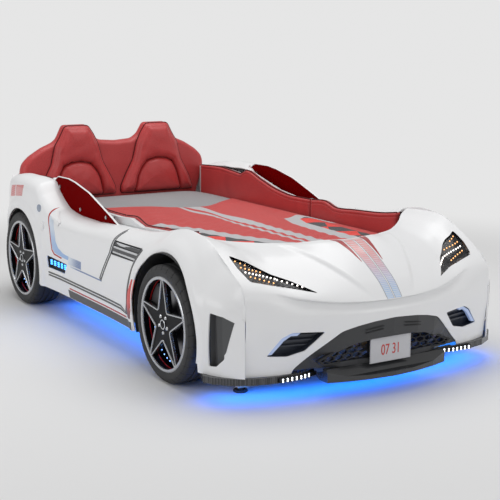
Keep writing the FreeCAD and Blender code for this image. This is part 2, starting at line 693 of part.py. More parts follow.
def build_feet():
    """Levelling feet: a hexagonal pad and a collar, and a stem that runs in its post."""
    collar = size("post_foot") - 0.3
    for end, x in zip(("rear", "front"), post_centres()):
        for side, sign in SIDES.items():
            y = sign * (BOARD_INNER - size("post") / 2)
            foot = prism(hexagon((x, y), 26), "Z", 0, 9).fuse(prism(hexagon((x, y), 12), "Z", 9, collar))
            stem = rod(size("stem_radius"), (x, y, collar - 1), (x, y, STEM_TOP))
            keep("foot_%s_%s" % (end, side), foot.fuse(stem))


def build_end_boards():
    """The panel behind the headboard cushion and the board under the hood."""
    outline = grown(closed_mirror(HEAD_OUTLINE), -14)
    body = padded_body("head_panel", "YZ_Plane", [outline], "Sizes.board_thickness", reverse=True)
    body.Placement = Placement(Vector(CUSHION_BACK, 0, 0), Rotation())
    keep_object("head_panel", body)
    foot = box_object(
        "foot_board",
        ("Sizes.board_thickness", BOARD_INNER * 2, MATTRESS_TOP - 45 - BOARD_BOTTOM),
        (FOOT_BOARD_X, -BOARD_INNER, BOARD_BOTTOM),
    )
    keep_object("foot_board", foot)


def build_base():
    """Centre beam, ledgers and slats under the mattress."""
    beam = box_object(
        "centre_beam",
        (FOOT_BOARD_X - CUSHION_BACK, "Sizes.beam_width", "Sizes.beam_height"),
        (CUSHION_BACK, "-Sizes.beam_width / 2", "Sizes.slat_top - Sizes.slat_thickness - Sizes.beam_height"),
    )
    keep_object("centre_beam", beam)
    ledgers = []
    for name, y in (("left", BOARD_INNER - size("batten")), ("right", -BOARD_INNER)):
        ledgers.append(box_object(
            "ledger_" + name,
            (FOOT_BOARD_X - BOARD_HEAD, "Sizes.batten", "Sizes.batten"),
            (BOARD_HEAD, y, LEDGER_BOTTOM),
        ))
    group("slat_ledgers", ledgers)
    count = int(size("slat_count"))
    run = size("mattress_length") - size("slat_width") - 20
    slats = []
    for i in range(count):
        slats.append(box_object(
            "slat_%d" % (i + 1),
            ("Sizes.slat_width", 2 * BOARD_INNER - 4, "Sizes.slat_thickness"),
            (MATTRESS_HEAD + 10 + run * i / (count - 1), 2 - BOARD_INNER, SLAT_BOTTOM),
        ))
    group("bed_slats", slats)


def build_shell_battens():
    """Outriggers from the side boards that carry the shells between and beyond the wheels."""
    pieces = []
    for start, end in ((REAR_X + 275, FRONT_X - 300), (FRONT_X + 300, FRONT_X + 330)):
        inner = BOARD_OUTER if end < FRONT_X else BOARD_INNER - 95
        reach = side_surface_y((start + end) / 2, SILL_Z + 40) - WALL - 1.6
        low = (start, inner, SILL_Z + 22)
        if end > FRONT_X:
            reach = SEAM - 2.0
            pieces.append(plain_box((FOOT_BOARD_X + BOARD, inner - size("batten"), low[2]),
                                    (end, inner, low[2] + size("batten"))))
        pieces.append(plain_box(low, (end, reach, low[2] + size("batten"))))
    reach = front_surface_x(90, 262) - 70
    nose = plain_box((FOOT_BOARD_X + BOARD, 60, SILL_Z + 30), (reach, 90, SILL_Z + 60))
    pieces.append(nose)
    tail = plain_box((-HALF_LENGTH + 13.3, 200, 360), (PANEL_BACK, 230, 390))
    pieces.append(tail)
    keep("shell_battens", both_sides(Part.makeCompound(pieces)))


def build_frame_bolts():
    """Hexagon bolts through the side boards into the corner posts."""
    bolts = []
    for x in post_centres():
        place = (x, FASTENER_HEIGHT)
        shank = rod(size("bolt_radius"), (x, BOARD_INNER, place[1]), (x, BOARD_OUTER, place[1]))
        bolts.append(shank.fuse(prism(hexagon(place, 8), "Y", BOARD_OUTER, BOARD_OUTER + 5)))
    keep("frame_bolts", both_sides(Part.makeCompound(bolts)))


# --------------------------------------------------- wheels
WHEEL_BACK = WHEEL_FACE - size("tyre_width")
LINER_BACK = BOARD_OUTER


def wheel_placement(x, sign):
    """Wheels are modelled facing +Y about their own axle; the right-hand ones are turned round."""
    return Placement(Vector(x, 0, WHEEL_Z), Rotation(Vector(0, 0, 1), 0 if sign > 0 else 180))


def tyre_profile():
    """Section of the tyre: bead, side walls and shoulders."""
    seat, outer, back, face = size("rim_radius"), size("tyre_radius"), WHEEL_BACK, WHEEL_FACE
    return [(seat, back + 6), (outer, back), (outer, face - 20), (outer - 14, face - 2), (seat, face - 5)]


def rim_profile():
    """Section of the rim: its barrel, open towards the face, and the lip."""
    seat, back, face = size("rim_radius") - 0.3, WHEEL_BACK, WHEEL_FACE
    lip = size("rim_lip")
    return [(seat - 5, back + 12), (seat, back + 12), (seat, face - 4), (seat - lip, face - 6)]


def star_arm():
    """One arm of the star: narrow at the lip, widening to the valley between it and its neighbours."""
    tip = size("rim_radius") - 8
    valley = 0.36 * size("rim_radius")
    half_angle = math.pi / size("spoke_count")
    side = (valley * math.sin(half_angle), valley * math.cos(half_angle))
    return [(0, 0), side, (9, tip), (-9, tip), (-side[0], side[1])]


def build_wheels():
    """Tyres and star rims at the four corners."""
    face = WHEEL_FACE
    tyres = []
    rims = []
    for end, x in (("front", FRONT_X), ("rear", REAR_X)):
        for side, sign in SIDES.items():
            where = "%s_%s" % (end, side)
            tyre = turned_body("tyre_" + where, tyre_profile())
            tyre.Placement = wheel_placement(x, sign)
            tyres.append(tyre)
            rim = turned_body("rim_" + where, rim_profile())
            arms = add_sketch(rim, "arm_" + where, "XZ_Plane", [star_arm()])
            arms.AttachmentOffset = Placement(Vector(0, 0, -(face - 10)), Rotation())
            pad = rim.newObject("PartDesign::Pad", "arm_pad_" + where)
            pad.Profile = arms
            pad.setExpression("Length", "Sizes.spoke_thickness")
            pattern = rim.newObject("PartDesign::PolarPattern", "star_" + where)
            pattern.Originals = [pad]
            pattern.Axis = (origin_axis(rim, "Y_Axis"), [""])
            pattern.Angle = 360
            pattern.setExpression("Occurrences", "Sizes.spoke_count")
            rim.Tip = pattern
            rim.Placement = wheel_placement(x, sign)
            rims.append(rim)
    group("tyres", tyres)
    group("star_rims", rims)


def origin_axis(body, role):
    return next(axis for axis in body.Origin.OriginFeatures if axis.Role == role)


def at_wheels(shape):
    """Copies of a piece modelled about a left-hand axle, one at each wheel."""
    copies = []
    for x in (FRONT_X, REAR_X):
        for sign in SIDES.values():
            copy = shape.copy()
            copy.Placement = wheel_placement(x, sign).multiply(copy.Placement)
            copies.append(copy)
    return Part.makeCompound(copies)


def build_brakes():
    """Brake discs on their hubs, which carry the wheels, and the calipers over them."""
    face = WHEEL_FACE
    hub_end = face - 10 - size("spoke_thickness")
    disc_back = face - 62
    disc = prism(hexagon((0, 0), 28), "Y", LINER_BACK + size("liner_wall"), hub_end)
    disc = disc.fuse(rod(size("disc_radius"), (0, disc_back, 0), (0, disc_back + 9, 0)))
    keep("brake_discs", at_wheels(disc))
    inner, outer = 84.0, size("rim_radius") - 12
    ring = rod(outer, (0, disc_back - 14, 0), (0, disc_back + 24, 0))
    ring = ring.cut(rod(inner, (0, disc_back - 15, 0), (0, disc_back + 25, 0)))
    reach = 2 * outer
    wedge = [(0, 0), (reach * math.cos(math.radians(10)), reach * math.sin(math.radians(10))),
             (reach * math.cos(math.radians(52)), reach * math.sin(math.radians(52)))]
    caliper = ring.common(prism(wedge, "Y", disc_back - 20, disc_back + 40))
    slot = rod(size("disc_radius") + 1, (0, disc_back - 1, 0), (0, disc_back + 10, 0))
    caliper = caliper.cut(slot)
    keep("brake_calipers", at_wheels(caliper))


def build_hub_caps():
    """A round cap with five domed nuts on each star."""
    face = WHEEL_FACE - 10
    cap = rod(18, (0, face, 0), (0, face + 5, 0))
    count = int(size("spoke_count"))
    for i in range(count):
        angle = 2 * math.pi * (i + 0.5) / count
        nut = prism(hexagon((33 * math.sin(angle), 33 * math.cos(angle)), 7), "Y", face, face + 7)
        cap = Part.makeCompound(cap.Solids + [nut])
    keep("hub_caps", at_wheels(cap))


def build_arch_liners():
    """Half-round liners between each wheel and the frame, with their back wall."""
    liners = []
    wall = size("liner_wall")
    for x, radius in ((FRONT_X, size("front_arch_radius") - 0.5), (REAR_X, size("rear_arch_radius") - 0.5)):
        face = min(side_surface_y(x - radius * 0.6, 380), side_surface_y(x + radius * 0.6, 380)) - WALL - 2
        liner = rod(radius, (x, LINER_BACK, WHEEL_Z), (x, face, WHEEL_Z))
        liner = liner.cut(rod(radius - wall, (x, LINER_BACK + wall, WHEEL_Z), (x, face + 1, WHEEL_Z)))
        liner = liner.cut(plain_box((x - 300, LINER_BACK - 1, -60), (x + 300, WIDE, SILL_Z)))
        for bolt in post_centres():
            head = prism(hexagon((bolt, FASTENER_HEIGHT), 9.5), "Y", LINER_BACK - 1, LINER_BACK + wall + 1)
            liner = liner.cut(head)
        liners.append(liner)
    keep("arch_liners", both_sides(Part.makeCompound(liners)))


# --------------------------------------------------- nose
def build_grille():
    """The dark surround, the stretched honeycomb behind it and the bare plate in front."""
    outline = closed_mirror(GRILLE_OUTLINE)
    mesh = closed_mirror(MESH_OUTLINE)
    thick, pitch, web = size("mesh_thickness"), size("cell_pitch"), size("cell_web")
    back = front_surface_x(0, 200) - 50
    frame = front_layer(42.0, 3.0).common(prism(grown(outline, -0.4), "X", BUMPER_START, HALF_LENGTH))
    frame = frame.cut(prism(grown(mesh, -6), "X", BUMPER_START, HALF_LENGTH + 10))
    frame = frame.cut(prism(grown(mesh, 0.4), "X", BUMPER_START, back + thick + 0.3))
    keep("grille_frame", largest(frame))
    plate = prism(mesh, "X", back, back + thick)
    edge = prism(grown(mesh, -7), "X", back - 1, back + thick + 1)
    rise = pitch * 0.5
    half = (pitch - web) / 2
    cells = []
    for row in range(-6, 7):
        for column in range(-9, 10):
            y = (column + 0.5 * (row % 2)) * pitch
            z = 168 + row * rise * 0.75 * 1.16
            cell = [(y - half, z - rise * 0.2), (y, z - rise * 0.5), (y + half, z - rise * 0.2),
                    (y + half, z + rise * 0.2), (y, z + rise * 0.5), (y - half, z + rise * 0.2)]
            if abs(y) < size("plate_width") / 2 - 4 and abs(z - PLATE_Z) < size("plate_height") / 2 - 4:
                continue
            if z + rise * 0.5 < 128 or z - rise * 0.5 > 216 or abs(y) > 290 * WIDER:
                continue
            cells.append(prism(cell, "X", back - 1, back + thick + 1))
    holes = Part.makeCompound(cells).common(edge)
    keep("grille_mesh", plate.cut(holes))
    plate_x = front_surface_x(0, PLATE_Z) - 6
    half_wide, half_high = size("plate_width") / 2, size("plate_height") / 2
    corner = (plate_x + 3, half_wide, PLATE_Z + half_high)
    plate = plain_box((plate_x, -half_wide, PLATE_Z - half_high), corner)
    boss = plain_box((back + thick, -60, PLATE_Z - 20), (plate_x, 60, PLATE_Z + 20))
    keep("number_plate", plate.fuse(boss))


PLATE_Z = 161.0
LIP_BACK = HALF_LENGTH - 137.0
LIP_HALF_WIDTH = 262.0
LIP_PLAN = [
    (LIP_BACK, 246), (LIP_BACK + 42, LIP_HALF_WIDTH), (LIP_BACK + 90, LIP_HALF_WIDTH),
    (LIP_BACK + 112, 190), (LIP_BACK + 129, 100), (HALF_LENGTH, 0),
]
SPLITTER_OUTER = [(x + LONGER, y * WIDER) for x, y in (
    (972, 642), (1010, 626), (1058, 580), (1098, 510), (1114, 430), (1112, 340), (1096, 268),
)]


def build_diffuser():
    """The dark lip under the grille: a flat tray with a deck that rises to the mesh."""
    low = size("ground_clearance")
    high = low + size("lip_height")
    back = front_surface_x(0, 200) - 50 - 6
    profile = [(LIP_BACK, low), (HALF_LENGTH, low), (HALF_LENGTH, high), (HALF_LENGTH - 26, high + 6),
               (back + 20, 115.5), (back, 115.5), (back, high), (LIP_BACK, high)]
    deck = prism(profile, "Y", -LIP_HALF_WIDTH, LIP_HALF_WIDTH)
    plan = LIP_PLAN + [(x, -y) for x, y in reversed(LIP_PLAN) if y > 0]
    keep("diffuser_lip", deck.common(prism(plan, "Z", low - 1, 140)))


def build_splitters():
    """Blades under the bumper's corners, with the lamp bars that sit on their inner ends."""
    inner = [(x - 62, y - 24) for x, y in SPLITTER_OUTER]
    outline = SPLITTER_OUTER + list(reversed(inner))
    high = SILL_Z - 26
    keep("splitters", both_sides(prism(outline, "Z", high - 24, high - 0.5)))
    front = [(x + 6.3, y) for x, y in SPLITTER_OUTER[4:]]
    keep("splitter_lamps", both_sides(prism(strip(front, 12), "Z", high - 20, high - 6)))


def tray(layer, outline, axis, depth, start, end):
    """An open box behind a cut-out: walls that follow the outline, and a floor at one depth."""
    body = layer(depth + 2.0, WALL).common(prism(grown(outline, 3.0), axis, start, end))
    return body.cut(layer(depth, -6.0).common(prism(grown(outline, 0.4), axis, start, end)))


def build_headlamps():
    """Smoked lenses flush with the hood, the housings behind them and the rows of lamp chips inside."""
    lens = front_cutter(grown(HEADLAMP, -0.4), size("lens_thickness"), 0.0)
    keep("headlamp_lenses", both_sides(largest(lens)))
    housing = tray(front_layer, HEADLAMP, "X", size("lamp_depth"), LAMPS_START, HALF_LENGTH)
    housing = largest(housing)
    keep("headlamp_housings", both_sides(housing))
    chips = []
    for (start, end), count in LAMP_ROWS:
        for i in range(count):
            share = i / (count - 1)
            y = start[0] + share * (end[0] - start[0])
            z = start[1] + share * (end[1] - start[1])
            x = lamp_floor_x(y, z)
            chip = plain_box((x - 1, y - 4, z - 3), (x + 9, y + 4, z + 3))
            chips.append(largest(chip.cut(housing)))
    keep("headlamp_leds", both_sides(Part.makeCompound(chips)))


LAMP_ROWS = [
    (((496 * WIDER, 482), (470 * WIDER, 474)), 3),
    (((490 * WIDER, 466), (410 * WIDER, 438)), 6),
    (((484 * WIDER, 452), (370 * WIDER, 421)), 8),
    (((478 * WIDER, 436), (320 * WIDER, 400)), 10),
]


def lamp_floor_x(y, z):
    """Where the lamp housing's floor lies at one place: straight behind the face by the lamp's depth."""
    below = front_surface_x(y, z - 12)
    above = front_surface_x(y, z + 12)
    slope = (below - above) / 24.0
    return front_surface_x(y, z) - size("lamp_depth") * math.hypot(1.0, slope)


def build_fog_recesses():
    """Dark slatted inserts behind the openings beside the grille, and the C-shaped blade in each."""
    insert = tray(front_layer, FOG_OPENING, "X", 30.0, BUMPER_START, HALF_LENGTH)
    slats = []
    for z in (202, 220, 238):
        slat = nose_drawn([(280, z), (440, z), (440, z + 5), (280, z + 5)])
        layer = front_layer(31.0, 20.0).common(prism(slat, "X", BUMPER_START, HALF_LENGTH))
        slats += layer.common(prism(grown(FOG_OPENING, -1), "X", BUMPER_START, HALF_LENGTH)).Solids
    insert = largest(insert)
    for slat in slats:
        insert = insert.fuse(slat)
    keep("fog_grilles", both_sides(insert))
    blade = nose_drawn([
        (466, 181), (417, 237), (385, 253), (352, 252), (362, 243), (384, 243), (408, 228), (448, 183),
    ])
    keep("fog_blades", both_sides(front_cutter(blade, 16.0, 3.0, BUMPER_START)))


# --------------------------------------------------- sides
def build_side_trims():
    """Corner intakes, louvred vents, sill panels, groove inlays, lamp recesses, handles and filler caps."""
    reach = (SEAM - 60, WIDE + 60)
    intake = tray(side_layer, INTAKE, "Y", 24.0, *reach)
    keep("corner_intakes", both_sides(largest(intake)))
    vent = tray(side_layer, VENT, "Y", 12.0, *reach)
    vent = largest(vent)
    for drop in (0, 24, 48):
        bar = side_drawn([
            (206 - drop * 0.2, 448 - drop), (446 - drop * 0.5, 451 - drop), (440 - drop * 0.5, 439 - drop),
            (206 - drop * 0.2, 436 - drop),
        ])
        bar = side_cutter(bar, 13.0, -1.0).common(prism(grown(VENT, -0.4), "Y", *reach))
        vent = vent.fuse(largest(bar))
    keep("side_vents", both_sides(vent))
    keep("sill_panels", both_sides(largest(side_cutter(grown(SILL_PANEL, -0.4), GROOVE_DEPTH, 0.0))))
    inlays = []
    for line in (DOOR_GROOVE, LOWER_GROOVE):
        inlay = side_cutter(grown(strip(line, GROOVE_WIDTH), -0.4), GROOVE_DEPTH, 1.2)
        inlays.append(largest(inlay.cut(prism(grown(VENT, 3.4), "Y", *reach))))
    keep("groove_trims", both_sides(Part.makeCompound(inlays)))
    lamp = largest(tray(side_layer, LAMP_RECESS, "Y", 14.0, *reach))
    for i in range(5):
        x = along(-438) + 36 * i
        chip = [(x, 246), (x + 16, 246), (x + 16, 268), (x, 268)]
        lamp = lamp.fuse(largest(side_cutter(chip, 15.0, 9.0)))
    keep("recess_lamps", both_sides(lamp))
    handle = strip(side_drawn([(-436, 476), (-410, 462), (-370, 446), (-350, 437)]), 17)
    keep("door_handles", both_sides(largest(side_cutter(handle, 0.0, -9.0))))
    x, z = side_drawn([(-521, 406)])[0]
    y = side_surface_y(x, z)
    cap = rod(21, (x, y - 12, z), (x, y + 4.5, z)).cut(side_layer(30.0, 0.0))
    keep("fuel_caps", both_sides(largest(cap)))


WINDOW_STUDS = side_drawn([(-560, 572), (-330, 497), (-60, 499)])


def build_windows():
    """Tinted side windows, each between its studs on the side board and their outer heads."""
    for name, sign in SIDES.items():
        label = "window_" + name
        body = padded_body(label, "XZ_Plane", [WINDOW_OUTLINE], "Sizes.window_thickness", reverse=sign > 0)
        body.Placement = Placement(Vector(0, sign * WINDOW_INNER, 0), Rotation())
        keep_object(label, body)
    studs = []
    inner, outer = WINDOW_INNER, WINDOW_INNER + size("window_thickness")
    for place in WINDOW_STUDS:
        studs.append(prism(hexagon(place, 9), "Y", BOARD_OUTER, inner))
        studs.append(prism(hexagon(place, 7), "Y", outer, outer + 3))
    keep("window_studs", both_sides(Part.makeCompound(studs)))


# --------------------------------------------------- upholstery
HEAD_OUTLINE = seat_drawn([
    (436, SLAT_BOTTOM + 30), (480, 440), (508, 520), (514, 582), (503, 619), (468, 653), (402, 693),
    (345, 716), (322, 734), (288, 803), (159, 803), (125, 746), (90, 722), (0, 715),
])
SEAT_OUTLINE = seat_drawn([
    (436, 444), (415, 510), (362, 611), (340, 705), (318, 738), (286, 800), (161, 800), (128, 750),
    (108, 705), (84, 615), (40, 535), (14, 480), (14, 444),
])
LUMBAR_OUTLINE = seat_drawn([
    (354, 446), (340, 500), (322, 552), (296, 598), (262, 617), (214, 624), (164, 608), (132, 570),
    (112, 530), (94, 446),
])


def build_mattress():
    """The mattress, with rounded top edges, and the bedspread that lies on it."""
    half = size("mattress_width") / 2
    head, foot = MATTRESS_HEAD, MATTRESS_FOOT
    body = padded_body(
        "mattress", "XY_Plane", [[(head, -half), (foot, -half), (foot, half), (head, half)]],
        "Sizes.mattress_thickness",
    )
    doc.recompute()
    pad = body.Tip
    rounding = body.newObject("PartDesign::Fillet", "mattress_rounding")
    edges = ["Edge%d" % (i + 1) for i, edge in enumerate(pad.Shape.Edges)
             if edge.CenterOfMass.z > 0.9 * size("mattress_thickness")]
    rounding.Base = (pad, edges)
    rounding.Radius = 18
    body.Tip = rounding
    body.Placement = Placement(Vector(0, 0, size("slat_top")), Rotation())
    keep_object("mattress", body)
    inner = half - 12
    fold = [(404, 438), (473, 340), (578, 173), (563, 83), (443, -59), (398, -202), (389, -281), (383, -438)]
    spread = [(foot - 20, -inner), (foot - 20, inner)]
    spread += [(head + x, y * inner / 438) for x, y in fold]
    cover = padded_body("bedspread", "XY_Plane", [spread], "Sizes.cover_thickness")
    cover.Placement = Placement(Vector(0, 0, MATTRESS_TOP + 0.3), Rotation())
    keep_object("bedspread", cover)


def build_headboard():
    """Back cushion, two seat-shaped bolsters with headrests, and their lumbar inserts."""
    back, face = CUSHION_BACK, HEAD_FACE - 18.0
    outline = closed_mirror(HEAD_OUTLINE)
    levels = [(back, -8), (back + 12, 0), (face - 10, 0), (face, -12)]
    keep("headboard_cushion", crowned(outline, "X", levels))
    seat_face = face + size("seat_thickness")
    levels = [(face + 0.3, 0), (seat_face - 16, 0), (seat_face - 5, -5), (seat_face, -14)]
    seat = crowned(SEAT_OUTLINE, "X", levels)
    hollow = prism(grown(LUMBAR_OUTLINE, 2), "X", face + 14, seat_face + 10)
    (inner, base), (outer, _) = LUMBAR_OUTLINE[-1], LUMBAR_OUTLINE[0]
    below = plain_box((face + 14, inner, base - 16), (seat_face + 10, outer, base + 4))
    keep("seat_bolsters", both_sides(seat.cut(hollow.fuse(below))))
    lumbar = crowned(LUMBAR_OUTLINE, "X", [
        (face + 14.3, 0), (seat_face - 16, 0), (seat_face - 5, -9), (seat_face + 1, -30)])
    keep("lumbar_pads", both_sides(lumbar))


def build_side_pads():
    """Upholstered pads along the side boards, split at the middle of the bed."""
    bottom = MATTRESS_TOP - 40
    split = along(1.0)
    start = HEAD_FACE + 42.0
    end = HOOD_EDGE_X - 296.0
    rear_top = [point for point in PAD_TOP_KNOTS if start + 40 < point[0] < split - 10]
    front_top = [point for point in PAD_TOP_KNOTS if split + 10 < point[0] < end - 10]
    rear = [(start, bottom), (split - 2, bottom), (split - 2, guide(PAD_TOP_KNOTS, split))]
    rear += list(reversed(rear_top)) + [(start, guide(PAD_TOP_KNOTS, start))]
    front = [(split + 2, bottom), (end, bottom), (end, guide(PAD_TOP_KNOTS, end))]
    front += list(reversed(front_top)) + [(split + 2, guide(PAD_TOP_KNOTS, split))]
    pads = []
    for outline in (rear, front):
        levels = [(BOARD_INNER, 0), (PAD_INNER + 8, 0), (PAD_INNER + 2, -2), (PAD_INNER, -6)]
        pads.append(crowned(outline, "Y", levels))
    keep("side_pads", both_sides(Part.makeCompound(pads)))


# --------------------------------------------------- lamps' supply and under-floor light
BOX_LOW = (100.0, BOARD_INNER - 80.0, 170.0)
BOX_HIGH = (220.0, BOARD_INNER, 210.0)
ROCKER_AT = (160.0, BOX_LOW[1] + 3.0, 190.0)
ROCKER_WIDTH = 12.0
ROCKER_TURN = 14.0


def build_switch():
    """Supply box on the left side board's inner face, and the rocker in it that switches the lamps."""
    x, y, z = ROCKER_AT
    radius, gap = size("rocker_radius"), size("rocker_clearance")
    half = ROCKER_WIDTH / 2
    box = plain_box(BOX_LOW, BOX_HIGH)
    box = box.cut(rod(radius + gap, (x - half - gap, y, z), (x + half + gap, y, z)))
    pin_radius = 1.5
    box = box.cut(rod(pin_radius + 0.05, (x - half - 3, y, z), (x + half + 3, y, z)))
    keep("control_box", box)
    rocker = rod(radius, (x - half, y, z), (x + half, y, z))
    reach = 2 * radius
    upper = (y - 5.0, z + reach)
    lower = (y - 5.0 - reach * math.tan(math.radians(ROCKER_TURN)), z - reach)
    crop = [(y - 5.0, z), upper, (y + reach, z + reach), (y + reach, z - reach), lower]
    body = Part.Face(Part.makePolygon([Vector(x - half - 1, a, b) for a, b in crop + crop[:1]]))
    rocker = rocker.common(body.extrude(Vector(ROCKER_WIDTH + 2, 0, 0)))
    rocker = rocker.fuse(rod(pin_radius, (x - half - 2.5, y, z), (x + half + 2.5, y, z)))
    keep("rocker_switch", rocker)


def build_underglow():
    """Light channels under the sills and behind the diffuser."""
    low = SILL_Z + 12
    side = plain_box((REAR_X + 280, WIDE - 88, low), (FRONT_X - 310, WIDE - 76, low + 10))
    front = plain_box((FRONT_X + 302, SEAM - 140, low), (FRONT_X + 314, SEAM - 10, low + 10))
    keep("underglow_strips", both_sides(Part.makeCompound([side, front])))


# --------------------------------------------------- assembly
build_side_boards()
build_end_boards()
build_base()
build_posts_and_legs()
build_feet()
build_shell_battens()
build_frame_bolts()
build_side_shells()
build_front_shell()
build_rear_shell()
build_grille()
build_diffuser()
build_splitters()
build_headlamps()
build_fog_recesses()
build_side_trims()
build_windows()
build_arch_liners()
build_wheels()
build_brakes()
build_hub_caps()
build_mattress()
build_headboard()
build_side_pads()
build_switch()
build_underglow()
doc.recompute()

for item in doc.Objects:
    if "Invalid" in item.State or "Error" in item.State:
        raise RuntimeError("%s did not build" % item.Label)
for piece in PARTS:
    if piece.Shape.isNull() or not piece.Shape.isValid():
        raise RuntimeError("%s has no valid shape" % piece.Label)

os.makedirs("parts", exist_ok=True)
for piece in PARTS:
    piece.Shape.exportStep("parts/%s.step" % piece.Label)
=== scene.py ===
import math
import bmesh
import bpy
import numpy as np
from mathutils import Matrix, Vector


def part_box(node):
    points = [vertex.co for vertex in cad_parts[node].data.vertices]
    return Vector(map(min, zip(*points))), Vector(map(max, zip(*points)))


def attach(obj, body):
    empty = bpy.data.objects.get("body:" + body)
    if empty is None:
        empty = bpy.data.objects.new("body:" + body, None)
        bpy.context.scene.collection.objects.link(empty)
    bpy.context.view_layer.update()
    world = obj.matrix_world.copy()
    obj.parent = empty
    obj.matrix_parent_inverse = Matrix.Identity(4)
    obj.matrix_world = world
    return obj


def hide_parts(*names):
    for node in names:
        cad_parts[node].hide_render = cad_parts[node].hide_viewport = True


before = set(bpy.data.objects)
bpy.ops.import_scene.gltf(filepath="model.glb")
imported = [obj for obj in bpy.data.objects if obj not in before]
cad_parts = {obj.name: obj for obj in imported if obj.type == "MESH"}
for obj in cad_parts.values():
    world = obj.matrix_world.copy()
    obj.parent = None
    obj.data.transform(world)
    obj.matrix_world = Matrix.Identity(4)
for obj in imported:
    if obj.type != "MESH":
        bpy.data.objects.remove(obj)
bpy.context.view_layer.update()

# ------------------------------------------------------------------ camera, light and floor
# The view that a catalogue shows: from ahead of the bed's right-hand front corner, a little above it,
# under one large soft lamp overhead and two weaker ones, on a plain pale floor.
EYE = Vector((4.1918, -2.4186, 1.2354))
LOOK_RIGHT = Vector((0.52051, 0.85385, 0.00309))
LOOK_UP = Vector((-0.16011, 0.09405, 0.98261))
LOOK_BACK = Vector((0.83871, -0.51195, 0.18567))
FOCAL_LENGTH = 80.86
PALE = (0.79, 0.79, 0.79, 1.0)

camera_data = bpy.data.cameras.new("photo_camera")
camera_data.lens = FOCAL_LENGTH
camera_data.sensor_width = 36.0
camera_data.shift_x = -0.0012
camera = bpy.data.objects.new("photo_camera", camera_data)
camera.matrix_world = Matrix.Translation(EYE) @ Matrix((LOOK_RIGHT, LOOK_UP, LOOK_BACK)).transposed().to_4x4()
bpy.context.collection.objects.link(camera)
bpy.context.scene.camera = camera
bpy.context.scene.view_settings.view_transform = "Standard"


def soft_lamp(name, place, target, width, height, power):
    """A rectangular lamp that faces a point."""
    data = bpy.data.lights.new(name, "AREA")
    data.shape = "RECTANGLE"
    data.size, data.size_y = width, height
    data.energy = power
    lamp = bpy.data.objects.new(name, data)
    lamp.location = place
    lamp.rotation_euler = (Vector(target) - Vector(place)).to_track_quat("-Z", "Y").to_euler()
    bpy.context.collection.objects.link(lamp)


soft_lamp("overhead_lamp", (-0.3, 0.2, 3.4), (0, 0, 0), 3.4, 2.6, 62)
soft_lamp("nose_lamp", (3.6, 1.6, 1.9), (0.6, 0, 0.3), 1.6, 1.6, 16)
soft_lamp("side_lamp", (0.6, -4.2, 1.7), (0, 0, 0.3), 2.6, 1.4, 26)


def pale_surroundings():
    """World: pale to the camera and in reflections, dimmer as light."""
    world = bpy.data.worlds.new("studio")
    world.use_nodes = True
    bpy.context.scene.world = world
    nodes, links = world.node_tree.nodes, world.node_tree.links
    background = nodes["Background"]
    background.inputs["Color"].default_value = PALE
    path = nodes.new("ShaderNodeLightPath")
    seen = nodes.new("ShaderNodeMath")
    seen.operation = "MAXIMUM"
    links.new(path.outputs["Is Camera Ray"], seen.inputs[0])
    links.new(path.outputs["Is Transmission Ray"], seen.inputs[1])
    level = nodes.new("ShaderNodeMapRange")
    level.inputs["To Min"].default_value = 0.62
    level.inputs["To Max"].default_value = 1.0
    links.new(seen.outputs[0], level.inputs["Value"])
    links.new(level.outputs["Result"], background.inputs["Strength"])


pale_surroundings()


def pale_floor():
    """A large flat sheet; the camera sees its shading laid over the backdrop's own grey."""
    mesh = bpy.data.meshes.new("floor")
    reach = 14.0
    mesh.from_pydata([(-reach, -reach, 0), (reach, -reach, 0), (reach, reach, 0), (-reach, reach, 0)], [],
                     [(0, 1, 2, 3)])
    floor = bpy.data.objects.new("floor", mesh)
    bpy.context.collection.objects.link(floor)
    material = bpy.data.materials.new("floor_paint")
    material.use_nodes = True
    nodes, links = material.node_tree.nodes, material.node_tree.links
    shader = nodes["Principled BSDF"]
    shader.inputs["Base Color"].default_value = (0.80, 0.80, 0.80, 1.0)
    shader.inputs["Roughness"].default_value = 0.9
    shader.inputs["Specular IOR Level"].default_value = 0.0
    distance = nodes.new("ShaderNodeVectorMath")
    distance.operation = "LENGTH"
    where = nodes.new("ShaderNodeTexCoord")
    links.new(where.outputs["Object"], distance.inputs[0])
    far = nodes.new("ShaderNodeMapRange")
    far.interpolation_type = "SMOOTHSTEP"
    far.inputs["From Min"].default_value = 1.9
    far.inputs["From Max"].default_value = 3.6
    links.new(distance.outputs["Value"], far.inputs["Value"])
    plain = nodes.new("ShaderNodeEmission")
    plain.inputs["Color"].default_value = PALE
    mix = nodes.new("ShaderNodeMixShader")
    links.new(far.outputs["Result"], mix.inputs["Fac"])
    links.new(shader.outputs["BSDF"], mix.inputs[1])
    links.new(plain.outputs["Emission"], mix.inputs[2])
    links.new(mix.outputs["Shader"], nodes["Material Output"].inputs["Surface"])
    mesh.materials.append(material)


pale_floor()

